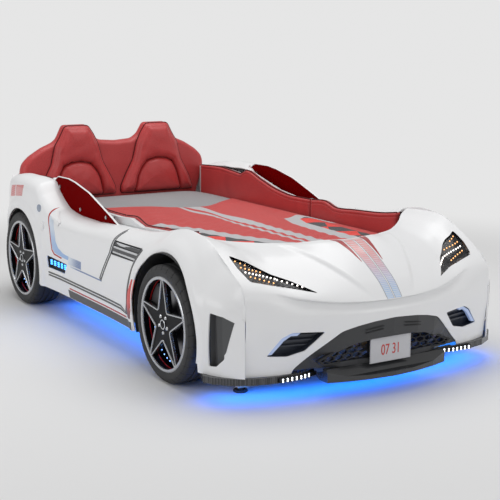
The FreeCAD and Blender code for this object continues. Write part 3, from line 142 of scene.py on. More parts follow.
# ------------------------------------------------------------------ side shells
# The bed's flanks: one vacuum-formed white gloss moulding a side, from nose seam to tail seam, with flared
# wheel arches. Each is screwed to outriggers of the wooden frame.
BODY = "frame_and_body"
MM = 0.001
HALF_LENGTH, WIDE, WALL, SEAM, LEDGE = 1215.0, 648.0, 4.0, 540.0, 497.0
SILL_Z, BELT_Z, FRONT_Z, REAR_Z, WHEEL_Z = 132.0, 471.0, 557.0, 607.0, 217.5
FRONT_X, REAR_X = 670.0, -782.0
FRONT_ARCH, REAR_ARCH = 260.0, 236.0
NOSE_FACE = HALF_LENGTH - 9.0
FRONT_SEAM_X, REAR_SEAM_X = NOSE_FACE - 121.0, -HALF_LENGTH + 81.0
HOOD_EDGE_X = 922.0
WIDTH_KNOTS = [
    (REAR_SEAM_X, SEAM + 3), (-1090, SEAM + 40), (-1020, WIDE - 34), (-940, WIDE - 10), (REAR_X, WIDE),
    (-560, WIDE - 5), (-300, WIDE - 17), (100, WIDE - 18), (400, WIDE - 10), (FRONT_X, WIDE),
    (860, WIDE - 2), (960, WIDE - 14), (1020, WIDE - 42), (1058, WIDE - 74), (FRONT_SEAM_X, SEAM + 3),
]
CROWN_KNOTS = [
    (REAR_SEAM_X, REAR_Z - 62), (-1060, REAR_Z - 36), (-950, REAR_Z - 14), (-821, REAR_Z - 1),
    (-715, REAR_Z), (-610, REAR_Z - 12), (-556, REAR_Z - 58), (-492, BELT_Z + 38), (-429, BELT_Z + 13),
    (-292, BELT_Z), (-148, BELT_Z), (9, BELT_Z + 9), (200, BELT_Z + 20), (375, BELT_Z + 34),
    (508, FRONT_Z - 32), (608, FRONT_Z - 10), (FRONT_X + 20, FRONT_Z), (770, FRONT_Z - 6),
    (843, FRONT_Z - 22), (944, FRONT_Z - 80), (1036, FRONT_Z - 127), (1071, FRONT_Z - 157),
    (FRONT_SEAM_X, FRONT_Z - 196),
]
CROWN_OFFSET_KNOTS = [
    (REAR_SEAM_X, SEAM), (-1000, SEAM + 10), (REAR_X, SEAM + 26), (-560, SEAM + 18), (0, SEAM + 16),
    (300, SEAM + 8), (560, SEAM), (FRONT_SEAM_X, SEAM),
]
SHOULDER_KNOTS = [
    (REAR_SEAM_X, 0.7), (REAR_X, 0.82), (-300, 0.76), (250, 0.72), (600, 0.55), (FRONT_SEAM_X, 0.55),
]
SHOULDER_DROP_KNOTS = [
    (REAR_SEAM_X, 26), (REAR_X, 32), (-300, 31), (250, 34), (700, 56), (FRONT_SEAM_X, 50),
]
LEDGE_DROP_KNOTS = [
    (REAR_SEAM_X, 8), (REAR_X, 24), (-500, 4), (0, 2), (300, 6), (560, 14), (FRONT_SEAM_X, 14),
]
BOTTOM_KNOTS = [
    (REAR_SEAM_X, SILL_Z - 8), (-600, SILL_Z), (450, SILL_Z), (900, SILL_Z - 26), (FRONT_SEAM_X, SILL_Z - 26),
]
LEDGE_KNOTS = [(-1094, LEDGE + 19), (-1090, LEDGE), (588, LEDGE), (592, SEAM - 2)]
WIDEST_Z = 300.0
ARCHES = [(FRONT_X, FRONT_ARCH, 62.0), (REAR_X, REAR_ARCH, 58.0)]
FLARE_HEIGHT, LIP_SINK, LIP_BAND, ARCH_DEPTH = 9.0, 5.0, 13.0, 60.0


def guide(knots, at):
    """Monotone cubic through (place, value) knots, at an array of places: each stretch is a cubic Hermite
    whose end slopes are the harmonic means of its neighbours' slopes, or nought where those change sign."""
    places, values = np.array(knots, float).T
    at = np.clip(np.asarray(at, float), places[0], places[-1])
    steps = np.diff(places)
    slopes = np.diff(values) / steps
    product = slopes[:-1] * slopes[1:]
    total = np.where(product > 0, slopes[:-1] + slopes[1:], 1.0)
    middle = np.where(product > 0, 2 * product / total, 0.0)
    tangents = np.concatenate([slopes[:1], middle, slopes[-1:]])
    i = np.clip(np.searchsorted(places, at, side="right") - 1, 0, len(slopes) - 1)
    s = (at - places[i]) / steps[i]
    rise = values[i + 1] - values[i]
    start, end = tangents[i] * steps[i], tangents[i + 1] * steps[i]
    return values[i] + start * s + (3 * rise - 2 * start - end) * s ** 2 + (start + end - 2 * rise) * s ** 3


def through(corners, places):
    """Catmull-Rom curves through corners, an array (..., corners, 2), at fractional places along them."""
    first, last = corners[..., :1, :], corners[..., -1:, :]
    ends = np.concatenate([first, corners, last], axis=-2)
    i = np.minimum(np.floor(places).astype(int), corners.shape[-2] - 2)
    s = (places - i)[:, None]
    a, b, c, d = (ends[..., i + k, :] for k in range(4))
    return b + 0.5 * s * (c - a + s * (2 * a - 5 * b + 4 * c - d + s * (3 * (b - c) + d - a)))


def side_corners(x):
    """The corners (y, z) of the flank's section at each x, from sill to ledge."""
    wide, crown_y, crown_z = guide(WIDTH_KNOTS, x), guide(CROWN_OFFSET_KNOTS, x), guide(CROWN_KNOTS, x)
    bottom = guide(BOTTOM_KNOTS, x)
    overhang = wide - crown_y
    shoulder_z = crown_z - guide(SHOULDER_DROP_KNOTS, x)
    ys = [wide - 0.10 * overhang, wide - 0.03 * overhang, wide, wide - 0.08 * overhang,
          crown_y + guide(SHOULDER_KNOTS, x) * overhang, crown_y, guide(LEDGE_KNOTS, x)]
    zs = [bottom, bottom + 0.5 * (WIDEST_Z - bottom), np.full_like(x, WIDEST_Z),
          WIDEST_Z + 0.55 * (shoulder_z - WIDEST_Z), shoulder_z, crown_z,
          crown_z - guide(LEDGE_DROP_KNOTS, x)]
    return np.stack([np.stack(ys, -1), np.stack(zs, -1)], -1)


def step_up(value, low, high):
    """Smoothstep: nought below low, one above high, 3t^2 - 2t^3 between."""
    t = np.clip((value - low) / (high - low), 0.0, 1.0)
    return t * t * (3 - 2 * t)


def flare(x, z):
    """How far the flank swells round each arch: full near the opening and smoothly gone at the band's width,
    less a narrow roll inwards at the very edge."""
    swell = 0.0
    for centre, radius, band in ARCHES:
        r = np.hypot(x - centre, z - WHEEL_Z) - radius
        rise = FLARE_HEIGHT * (1 - step_up(r, band * 0.45, band))
        swell = swell + (rise - LIP_SINK * (1 - step_up(r, 0.0, LIP_BAND)) ** 2) * (r > -ARCH_DEPTH)
    return swell


def side_face(x, z):
    """How far out the flank lies at (x, z): its section at x, read at height z, plus the arches' flare."""
    x, z = np.broadcast_arrays(np.asarray(x, float), np.asarray(z, float))
    flat_x, flat_z = x.ravel(), z.ravel()
    line = through(side_corners(flat_x), np.linspace(0, 5, 46))
    i = np.clip((line[..., 1] < flat_z[:, None]).sum(1) - 1, 0, 44)
    n = np.arange(len(flat_x))
    low, high = line[n, i], line[n, i + 1]
    share = np.clip((flat_z - low[:, 1]) / np.maximum(high[:, 1] - low[:, 1], 1e-6), 0, 1)
    y = low[:, 0] + share * (high[:, 0] - low[:, 0])
    return y.reshape(x.shape) + flare(x, z)


def grid_faces(rows, columns, loop_rows=False, loop_columns=False):
    """Quads of a grid of points numbered row by row; a looped direction joins its last line to its first."""
    i = np.arange(rows if loop_rows else rows - 1)[:, None]
    j = np.arange(columns if loop_columns else columns - 1)[None, :]
    a, b = i * columns + j, i * columns + (j + 1) % columns
    c, d = ((i + 1) % rows) * columns + (j + 1) % columns, ((i + 1) % rows) * columns + j
    return np.stack([a, d, c, b], -1).reshape(-1, 4)


def outward(points):
    """Unit normals of a grid of points, from the cross product of its two directions."""
    normal = np.cross(np.gradient(points, axis=0), np.gradient(points, axis=1))
    return normal / np.maximum(np.linalg.norm(normal, axis=-1, keepdims=True), 1e-9)


def slab(points, wall, lift=0.0):
    """A closed sheet of one thickness: the grid of points, its copy pushed in by wall, and a rim between."""
    rows, columns = points.shape[:2]
    normal = outward(points)
    front, back = points + normal * lift, points - normal * (wall - lift)
    faces = grid_faces(rows, columns)
    count = rows * columns
    edge = np.concatenate([
        np.arange(columns), np.arange(1, rows) * columns + columns - 1,
        np.arange(columns - 2, -1, -1) + (rows - 1) * columns, np.arange(rows - 2, 0, -1) * columns,
    ])
    following = np.roll(edge, -1)
    rim = np.stack([edge, following, following + count, edge + count], -1)
    vertices = np.concatenate([front.reshape(-1, 3), back.reshape(-1, 3)])
    return vertices, np.concatenate([faces, faces[:, ::-1] + count, rim])


def joined(parts):
    """Several (vertices, faces) pairs as one."""
    vertices, faces, start = [], [], 0
    for points, polygons in parts:
        vertices.append(np.asarray(points, float))
        faces += [[v + start for v in polygon] for polygon in polygons]
        start += len(points)
    return np.concatenate(vertices), faces


def other_side(part):
    """The mirror image across the bed's middle, with its faces turned back outwards."""
    vertices, faces = part
    return np.asarray(vertices) * (1, -1, 1), [list(polygon)[::-1] for polygon in faces]


def both_sides(part):
    """The part and its mirror image as one."""
    return joined([part, other_side(part)])


def loose_mesh(name, part):
    """A mesh from (vertices in millimetres, faces)."""
    vertices, faces = part
    mesh = bpy.data.meshes.new(name)
    mesh.from_pydata((np.asarray(vertices) * MM).tolist(), [], [[int(v) for v in face] for face in faces])
    return mesh


def read_back(mesh):
    """A mesh as (vertices in millimetres, faces) again."""
    vertices = np.empty(len(mesh.vertices) * 3)
    mesh.vertices.foreach_get("co", vertices)
    return vertices.reshape(-1, 3) / MM, [list(polygon.vertices) for polygon in mesh.polygons]


def placed(name, mesh):
    """The mesh's object, linked to the scene."""
    obj = bpy.data.objects.new(name, mesh)
    bpy.context.collection.objects.link(obj)
    return obj


def make(name, part, material, slot, crease=35.0, replaces=()):
    """A piece from (vertices in millimetres, faces): smooth but for edges sharper than crease degrees."""
    mesh = loose_mesh(name, part)
    mesh.validate()
    mesh.materials.append(material)
    mesh.polygons.foreach_set("use_smooth", [True] * len(mesh.polygons))
    if crease < 180:
        mesh.set_sharp_from_angle(angle=math.radians(crease))
    obj = placed(name, mesh)
    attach(obj, BODY)
    if replaces:
        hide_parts(*replaces)
    return obj


def make_pair(name, part, material, slot, replaced, **options):
    """A left piece and its mirror image on the right; %s in either name stands for the side."""
    pieces = []
    for side, shape in (("left", part), ("right", other_side(part))):
        node = replaced.replace("%s", side)
        pieces.append(make(name % side, shape, material, slot, replaces=[node], **options))
    return pieces


def outward_again(part):
    """The part with doubled points merged and every face turned to point out of its closed shape."""
    mesh = loose_mesh("turning", part)
    work = bmesh.new()
    work.from_mesh(mesh)
    bmesh.ops.remove_doubles(work, verts=work.verts, dist=0.001 * MM)
    bmesh.ops.recalc_face_normals(work, faces=work.faces)
    work.to_mesh(mesh)
    work.free()
    part = read_back(mesh)
    bpy.data.meshes.remove(mesh)
    return part


def closed_rings(points, looped=False):
    """A closed shape from rings of points, an array (rings, around, 3): quads join each ring to the next, and
    a cap closes each end, or the last ring is joined to the first."""
    rows, columns = points.shape[:2]
    faces = grid_faces(rows, columns, looped, True).tolist()
    if not looped:
        faces += [list(range(columns)), list(range((rows - 1) * columns, rows * columns))]
    return outward_again((points.reshape(-1, 3), faces))


def prism(outline, axis, start, end):
    """A closed straight prism on a flat outline along axis 0, 1 or 2."""
    flat = np.asarray(outline, float)
    return closed_rings(np.stack([np.insert(flat, axis, at, axis=1) for at in (start, end)]))


def carved(part, cutters):
    """The part less all cutters, which don't touch one another, by a boolean on closed meshes."""
    body = placed("carving_body", loose_mesh("carving_body", part))
    tool = placed("carving_tool", loose_mesh("carving_tool", joined(cutters)))
    cut = body.modifiers.new("cut", "BOOLEAN")
    cut.operation = "DIFFERENCE"
    cut.solver = "MANIFOLD"
    cut.object = tool
    bpy.context.view_layer.update()
    evaluated = body.evaluated_get(bpy.context.evaluated_depsgraph_get())
    part = read_back(evaluated.to_mesh())
    evaluated.to_mesh_clear()
    for obj in (body, tool):
        bpy.data.objects.remove(obj)
    return part


def softened(outline, radius, steps=5):
    """A closed outline with each corner replaced by a quadratic curve that starts radius before it."""
    points = np.asarray(outline, float)
    before, after = np.roll(points, 1, 0) - points, np.roll(points, -1, 0) - points
    gone, come = np.linalg.norm(before, axis=1), np.linalg.norm(after, axis=1)
    reach_before = np.minimum(radius, 0.45 * gone)[:, None] / gone[:, None]
    reach_after = np.minimum(radius, 0.45 * come)[:, None] / come[:, None]
    start, end = points + before * reach_before, points + after * reach_after
    t = np.linspace(0, 1, steps)[None, :, None]
    curve = (1 - t) ** 2 * start[:, None] + 2 * t * (1 - t) * points[:, None] + t ** 2 * end[:, None]
    return curve.reshape(-1, 2)


def disc_outline(centre, radius, count):
    """Points round a circle: the radius times cosine and sine of equal turns."""
    turn = np.linspace(0, 2 * np.pi, count, endpoint=False)
    return np.stack([centre[0] + radius * np.cos(turn), centre[1] + radius * np.sin(turn)], -1)


VENT = [(217, 454), (453, 458), (410, 402), (190, 396)]
LAMP_RECESS = [(-463, 284), (-458, 230), (-281, 230), (-250, 276)]
INTAKE = [(986, 326), (1036, 316), (1034, 170), (1006, 140), (978, 138)]


def new_group(name, inputs, outputs=("Colour", "Roughness", "Height")):
    """An empty shader node group and its two end nodes. An input's kind follows its default: none is a
    vector and four numbers are a colour. An output is a number unless it is called Colour."""
    group = bpy.data.node_groups.new(name, "ShaderNodeTree")
    for label, value in inputs.items():
        kind = "Vector" if value is None else "Color" if isinstance(value, tuple) else "Float"
        socket = group.interface.new_socket(label, in_out="INPUT", socket_type="NodeSocket" + kind)
        if value is not None:
            socket.default_value = value
    for label in outputs:
        kind = "Color" if label == "Colour" else "Float"
        group.interface.new_socket(label, in_out="OUTPUT", socket_type="NodeSocket" + kind)
    return group, group.nodes.new("NodeGroupInput"), group.nodes.new("NodeGroupOutput")


def handed_out(group, put, *sockets):
    """The group, with these sockets linked to its outputs in their order."""
    for socket, place in zip(sockets, put.inputs):
        group.links.new(socket, place)
    return group


def calculate(tree, operation, *values):
    """One Math node; each value is a number or a socket."""
    node = tree.nodes.new("ShaderNodeMath")
    node.operation = operation
    for socket, value in zip(node.inputs, values):
        if isinstance(value, (int, float)):
            socket.default_value = value
        else:
            tree.links.new(value, socket)
    return node.outputs[0]


def noise(tree, vector, scale, detail=3.0, distortion=0.0):
    """One Noise Texture's factor."""
    node = tree.nodes.new("ShaderNodeTexNoise")
    node.inputs["Detail"].default_value = detail
    node.inputs["Distortion"].default_value = distortion
    if isinstance(scale, (int, float)):
        node.inputs["Scale"].default_value = scale
    else:
        tree.links.new(scale, node.inputs["Scale"])
    tree.links.new(vector, node.inputs["Vector"])
    return node.outputs["Fac"]


def blended(tree, share, first, second):
    """Colour mix of two colours or colour sockets."""
    node = tree.nodes.new("ShaderNodeMix")
    node.data_type = "RGBA"
    for socket, value in ((node.inputs[0], share), (node.inputs[6], first), (node.inputs[7], second)):
        if isinstance(value, (int, float)):
            socket.default_value = value
        elif isinstance(value, tuple):
            socket.default_value = value if len(value) == 4 else (*value, 1.0)
        else:
            tree.links.new(value, socket)
    return node.outputs[2]


def moulded_group():
    """Moulded surface: slow colour drift, fine speckle and uneven gloss, with a height for the bump."""
    group, given, put = new_group("moulded_surface", {
        "Vector": None, "Colour": (0.8, 0.8, 0.8, 1), "Second": (0.7, 0.7, 0.7, 1), "Drift Scale": 3.0,
        "Grain Scale": 900.0, "Roughness": 0.3, "Spread": 0.1})
    read = given.outputs
    drift = noise(group, read["Vector"], read["Drift Scale"], 4.0, 0.4)
    grain = noise(group, read["Vector"], read["Grain Scale"], 2.0)
    smear = calculate(group, "SUBTRACT", noise(group, read["Vector"], 14.0, 5.0, 1.2), 0.5)
    gloss = calculate(group, "MULTIPLY_ADD", smear, read["Spread"], read["Roughness"])
    return handed_out(group, put, blended(group, drift, read["Colour"], read["Second"]), gloss, grain)


MOULDED = moulded_group()


def grouped_material(name, group, values, bump, distance=0.001, **shader_values):
    """A material from one group that gives Colour, Roughness and Height over Object coordinates. The values
    are the group's, the shader_values constants on the shader's own sockets."""
    material = bpy.data.materials.new(name)
    material.use_nodes = True
    tree = material.node_tree
    shader = tree.nodes["Principled BSDF"]
    where = tree.nodes.new("ShaderNodeTexCoord")
    surface = tree.nodes.new("ShaderNodeGroup")
    surface.node_tree = group
    relief = tree.nodes.new("ShaderNodeBump")
    relief.inputs["Strength"].default_value = bump
    relief.inputs["Distance"].default_value = distance
    for label, value in values.items():
        surface.inputs[label].default_value = value
    for label, value in shader_values.items():
        shader.inputs[label.replace("_", " ")].default_value = value
    for source, target in ((where.outputs["Object"], surface.inputs["Vector"]),
                           (surface.outputs["Height"], relief.inputs["Height"]),
                           (surface.outputs["Colour"], shader.inputs["Base Color"]),
                           (surface.outputs["Roughness"], shader.inputs["Roughness"]),
                           (relief.outputs["Normal"], shader.inputs["Normal"])):
        tree.links.new(source, target)
    return material


def moulded(name, colour, second, roughness, spread=0.1, grain=900.0, bump=0.02, drift=3.0, **shader_values):
    """A moulded or painted hard material, drifting between two colours."""
    values = {"Colour": (*colour, 1), "Second": (*second, 1), "Drift Scale": drift, "Grain Scale": grain,
              "Roughness": roughness, "Spread": spread}
    return grouped_material(name, MOULDED, values, bump, **shader_values)


WHITE_SHELL = moulded("white_shell", (0.86, 0.863, 0.872), (0.84, 0.843, 0.852), 0.34, 0.03, 340.0, 0.008,
                      Coat_Weight=0.35, Coat_Roughness=0.22)


def side_shell():
    """The left flank: its section swept along x, cut out for wheels, vent, lamp recess and corner intake."""
    x = np.unique(np.concatenate([np.linspace(REAR_SEAM_X, FRONT_SEAM_X, 430), [p[0] for p in CROWN_KNOTS]]))
    places = np.linspace(0, 6, 86)
    section = through(side_corners(x), places)
    y, z = section[..., 0], section[..., 1]
    y = y + flare(x[:, None], z) * (1 - step_up(places, 4.2, 5.2))
    points = np.stack([np.broadcast_to(x[:, None], y.shape), y, z], -1)
    outlines = [softened(outline, 6.0) for outline in (VENT, LAMP_RECESS, INTAKE)]
    cutters = [prism(outline, 1, SEAM - 20, WIDE + 60) for outline in outlines]
    for centre, radius, band in ARCHES:
        upper_half = disc_outline((centre, WHEEL_Z), radius, 160)[:81]
        opening = np.concatenate([upper_half, [[centre - radius, -20], [centre + radius, -20]]])
        cutters.append(prism(opening, 1, SEAM - 100, WIDE + 60))
    return carved(slab(points[:, ::-1], WALL), cutters)


make_pair("side_shell_%s_moulding", side_shell(), WHITE_SHELL, "white_shell", "side_shell_%s")

# ------------------------------------------------------------------ front shell
# Hood and bumper in one white moulding, with openings for headlamps, fog lamps and grille. It hooks over the
# side shells' seams and is screwed to a batten from the foot board.
PROFILE_KNOTS = [
    [(0, HOOD_EDGE_X), (100, HOOD_EDGE_X - 17), (200, HOOD_EDGE_X - 84), (280, HOOD_EDGE_X - 122),
     (350, HOOD_EDGE_X - 177), (420, HOOD_EDGE_X - 238), (480, HOOD_EDGE_X - 292), (SEAM, HOOD_EDGE_X - 330)],
    [(0, FRONT_Z - 44), (100, FRONT_Z - 42), (200, FRONT_Z - 54), (350, FRONT_Z - 52), (420, FRONT_Z - 46),
     (480, FRONT_Z - 26), (SEAM, FRONT_Z - 13)],
    [(0, 1010), (100, 1000), (200, 960), (280, 940), (350, 900), (420, 850), (480, 805), (SEAM, 770)],
    [(0, FRONT_Z - 79), (200, FRONT_Z - 79), (280, FRONT_Z - 85), (350, FRONT_Z - 82), (420, FRONT_Z - 58),
     (480, FRONT_Z - 28), (SEAM, FRONT_Z - 6)],
    [(0, 1110), (100, 1105), (200, 1085), (280, 1060), (350, 1024), (420, 960), (480, 920), (SEAM, 890)],
    [(0, FRONT_Z - 139), (200, FRONT_Z - 139), (280, FRONT_Z - 142), (350, FRONT_Z - 137),
     (420, FRONT_Z - 104), (480, FRONT_Z - 66), (SEAM, FRONT_Z - 44)],
    [(0, NOSE_FACE - 8), (100, NOSE_FACE - 13), (200, NOSE_FACE - 34), (280, NOSE_FACE - 62),
     (350, NOSE_FACE - 91), (420, NOSE_FACE - 118), (480, NOSE_FACE - 133), (SEAM, NOSE_FACE - 141)],
    [(0, FRONT_Z - 212), (200, FRONT_Z - 207), (280, FRONT_Z - 199), (350, FRONT_Z - 187),
     (420, FRONT_Z - 169), (480, FRONT_Z - 159), (SEAM, FRONT_Z - 154)],
    [(0, NOSE_FACE), (100, NOSE_FACE - 3), (200, NOSE_FACE - 20), (280, NOSE_FACE - 44),
     (350, NOSE_FACE - 64), (420, NOSE_FACE - 84), (480, NOSE_FACE - 100), (SEAM, FRONT_SEAM_X)],
    [(0, 300), (SEAM, 300)],
    [(0, NOSE_FACE - 10), (100, NOSE_FACE - 12), (200, NOSE_FACE - 28), (280, NOSE_FACE - 56),
     (350, NOSE_FACE - 78), (420, NOSE_FACE - 92), (480, NOSE_FACE - 106), (SEAM, FRONT_SEAM_X - 6)],
    [(0, 200), (SEAM, 200)],
    [(0, NOSE_FACE - 40), (200, NOSE_FACE - 50), (280, NOSE_FACE - 84), (350, NOSE_FACE - 96),
     (420, NOSE_FACE - 102), (480, NOSE_FACE - 116), (SEAM, FRONT_SEAM_X - 16)],
    [(0, SILL_Z - 26), (SEAM, SILL_Z - 26)],
]
HEADLAMP = [(508, 499), (509, 465), (494, 427), (400, 405), (270, 379), (335, 414), (385, 434), (450, 474)]
FOG_OPENING = [(469, 178), (418, 240), (385, 256), (268, 252), (331, 186), (393, 171)]
GRILLE_OUTLINE = [(372, 116), (300, 178), (212, 250), (150, 266), (97, 274), (0, 280)]
FOLD_HEIGHT, FOLD_EASE, BROW_DEPTH = 9.0, 10.0, 22.0
HOOD_FOLD = [(840, 250), (940, 220), (1027, 180), (1104, 140), (1169, 100), (1215, 62)]


def front_line(y, places):
    """The nose's section (x, z) at each |y|, at places from the hood's rear edge, 0, to the foot, 6: curves
    through the corners there, raised between the hood's folds and drawn back below its front edge."""
    at = np.abs(y)
    knots = zip(PROFILE_KNOTS[0::2], PROFILE_KNOTS[1::2])
    corners = np.stack([np.stack([guide(a, at), guide(b, at)], -1) for a, b in knots], -2)
    line = through(corners, places)
    fold = guide(HOOD_FOLD, line[..., 0])
    raised = 1 - step_up(at[:, None] - fold, -FOLD_EASE, FOLD_EASE)
    fade = (1 - step_up(places, 2.3, 2.95)) * step_up(places, 0.0, 0.5)
    line[..., 1] += FOLD_HEIGHT * raised * fade
    brow = step_up(places, 3.0, 3.14) * (1 - step_up(places, 3.2, 3.95))
    line[..., 0] -= BROW_DEPTH * brow * (1 - step_up(at[:, None], 300.0, 470.0))
    return line


def front_face(y, z):
    """How far forward the nose lies at (y, z)."""
    y, z = np.broadcast_arrays(np.asarray(y, float), np.asarray(z, float))
    flat_y, flat_z = y.ravel(), z.ravel()
    line = front_line(flat_y, np.linspace(0, 6, 121))
    i = np.clip((line[..., 1] > flat_z[:, None]).sum(1) - 1, 0, 119)
    n = np.arange(len(flat_y))
    high, low = line[n, i], line[n, i + 1]
    share = np.clip((high[:, 1] - flat_z) / np.maximum(high[:, 1] - low[:, 1], 1e-6), 0, 1)
    return (high[:, 0] + share * (low[:, 0] - high[:, 0])).reshape(y.shape)


def closed_mirror(half):
    """A symmetric closed outline from its half on the left."""
    return list(half) + [(-y, z) for y, z in reversed(half) if y > 0]


def front_shell():
    """The nose's section swept from side to side, cut out for lamps, fog recesses and grille."""
    y = np.linspace(-SEAM, SEAM, 261)
    line = front_line(y, np.linspace(0, 6, 150))
    points = np.stack([line[..., 0], np.broadcast_to(y[:, None], line.shape[:2]), line[..., 1]], -1)
    outlines = [softened(outline, 9.0) * (sign, 1) for outline in (HEADLAMP, FOG_OPENING) for sign in (1, -1)]
    cutters = [prism(outline, 0, 820, HALF_LENGTH + 30) for outline in outlines]
    grille_opening = [(372, 50)] + closed_mirror(GRILLE_OUTLINE) + [(-372, 50)]
    cutters.append(prism(softened(grille_opening, 16.0), 0, 1000, HALF_LENGTH + 30))
    return carved(slab(points[:, ::-1], WALL), cutters)


make("front_shell_moulding", front_shell(), WHITE_SHELL, "white_shell", replaces=["front_shell"])

# ------------------------------------------------------------------ tail shell
# A plain white moulding that closes the back of the bed behind the headboard, vacuum-formed like the flanks
# and carried by the frame's battens.
TAIL_KNOTS = [
    [(0, 20), (340, 26), (450, 38), (500, 50), (SEAM, 68)],
    [(0, 0), (340, 8), (450, 26), (500, 42), (SEAM, 66)],
    [(0, 4), (340, 12), (450, 30), (500, 45), (SEAM, 68)],
    [(0, 30), (340, 36), (450, 46), (500, 56), (SEAM, 68)],
]
TAIL_HEIGHTS = [REAR_Z - 80, REAR_Z - 150, 300.0, SILL_Z - 8]


def tail_shell():
    """Sections through six corners at each y, swept across the tail."""
    y = np.linspace(-SEAM, SEAM, 121)
    at = np.abs(y)
    top = guide([(0, REAR_Z - 8), (450, REAR_Z - 22), (SEAM, REAR_Z - 50)], at)
    front = guide([(0, -1154), (500, -1154), (SEAM, -1156)], at)
    corners = [np.stack([-HALF_LENGTH + guide(knots, at), np.full_like(at, height)], -1)
               for knots, height in zip(TAIL_KNOTS, TAIL_HEIGHTS)]
    rim = [np.stack([front, top], -1), np.stack([corners[0][:, 0] + 10, top - 10], -1)]
    line = through(np.stack(rim + corners, -2), np.linspace(0, 5, 90))
    points = np.stack([line[..., 0], np.broadcast_to(y[:, None], line.shape[:2]), line[..., 1]], -1)
    return slab(points, WALL)


make("tail_shell_moulding", tail_shell(), WHITE_SHELL, "white_shell", replaces=["rear_shell"])

# ------------------------------------------------------------------ tyres
# Four moulded tyres of matt black plastic, with shallow tread grooves and cuts across the shoulder. Each is
# pushed over its rim and doesn't turn.
WHEEL_FACE = WIDE - 3.0
TYRE_SECTION = [
    (176, 5), (181, 2.6), (189, 0.8), (197, 0.6), (203, 2.0), (204.5, 4.2), (209, 6.2), (213, 10), (216, 15),
    (217.4, 21), (217.5, 38), (214, 39), (214, 45), (217.5, 46), (217.5, 64), (214, 65), (214, 73),
    (217.5, 74), (217.5, 92), (214, 93), (214, 99), (217.5, 100), (217.3, 119), (215, 127), (208, 133),
    (196, 136.5), (184, 136), (176, 132),
]
SHOULDER_CUTS, CUT_STEPS, CUT_DEPTH, CUT_SINK = 32, 12, 2.6, 1.6


def turned(section, around=240):
    """A closed section of (radius, depth) turned about the axle, by the sine and cosine of the turn."""
    turn = np.linspace(0, 2 * np.pi, around, endpoint=False)[:, None]
    section = np.asarray(section, float)
    if section.ndim == 2:
        section = np.broadcast_to(section, (around, *section.shape))
    radius, depth = section[..., 0], section[..., 1]
    points = np.stack([radius * np.sin(turn), WHEEL_FACE - depth, radius * np.cos(turn)], -1)
    return closed_rings(points, True)


def at_wheels(part):
    """The part, made about a left-hand axle, at all four wheels."""
    vertices, faces = part
    return both_sides(joined([(vertices + (x, 0, WHEEL_Z), faces) for x, radius, band in ARCHES]))


def tyre():
    """The section turned, with V cuts that lean with the depth sunk across its outer shoulder."""
    around = SHOULDER_CUTS * CUT_STEPS
    section = np.tile(np.array(TYRE_SECTION, float), (around, 1, 1))
    radius, depth = section[0].T
    step = np.arange(around)[:, None] + np.round(depth / 9).astype(int)
    cut = (step % CUT_STEPS == 0) & (radius > 200) & (depth < 37)
    section += np.stack([-CUT_DEPTH * cut, CUT_SINK * (cut & (depth < 12))], -1)
    return turned(section, around)


TYRE_BLACK = moulded("tyre_black", (0.020, 0.020, 0.021), (0.030, 0.030, 0.031), 0.62, 0.16, 520.0, 0.25)
make("tyres_moulded", at_wheels(tyre()), TYRE_BLACK, "tyre_black", crease=28, replaces=["tyres"])

# ------------------------------------------------------------------ rims
# Five-armed stars of gloss black plastic whose raised edges and outer lip are silvered, with the barrel
# behind in black. A blue lamp ring lights each from inside.
RIM_DEPTH = 126.0
STAR_TIP, STAR_TIP_HALF, STAR_VALLEY, ARMS = 168.0, 8.0, 60.0, 5
LIP_SECTION = [(163.0, 7.5), (164.0, 3.6), (166.5, 2.4), (173.0, 2.2), (175.8, 4.5), (175.8, 13), (166, 13)]
BARREL_SECTION = [(175.8, 13.2), (175.8, RIM_DEPTH), (171.0, RIM_DEPTH), (169.0, 40.0), (164.0, 13.2)]


def star_outline():
    """Each arm's two tip corners and the valley after it, for five arms turned evenly about the axle."""
    turn = 2 * np.pi * np.arange(ARMS)[:, None] / ARMS
    lean = math.atan2(STAR_TIP_HALF, STAR_TIP)
    angle = turn + [-lean, lean, math.pi / ARMS]
    radius = np.array([STAR_TIP, STAR_TIP, STAR_VALLEY])
    return np.stack([radius * np.sin(angle), radius * np.cos(angle)], -1).reshape(-1, 2)


def inset(outline, amount):
    """A closed outline moved inwards: each corner along the mean of its edges' normals, over the cosine."""
    points = np.asarray(outline, float)
    edge = np.roll(points, -1, 0) - points
    edge /= np.maximum(np.linalg.norm(edge, axis=1, keepdims=True), 1e-9)
    following = np.roll(points, -1, 0)
    area = (points[:, 0] * following[:, 1] - following[:, 0] * points[:, 1]).sum()
    inward = np.stack([-edge[:, 1], edge[:, 0]], -1) * np.sign(area)
    before = np.roll(inward, 1, 0)
    share = np.maximum(1 + (inward * before).sum(1, keepdims=True), 0.25)
    return points + amount * (inward + before) / share


def band_along(outline, section, axis=1):
    """A closed band that follows an outline: each section point is (inset, place along the axis)."""
    rings = [np.insert(inset(outline, amount), axis, at, axis=1) for amount, at in section]
    return closed_rings(np.stack(rings, 1), True)


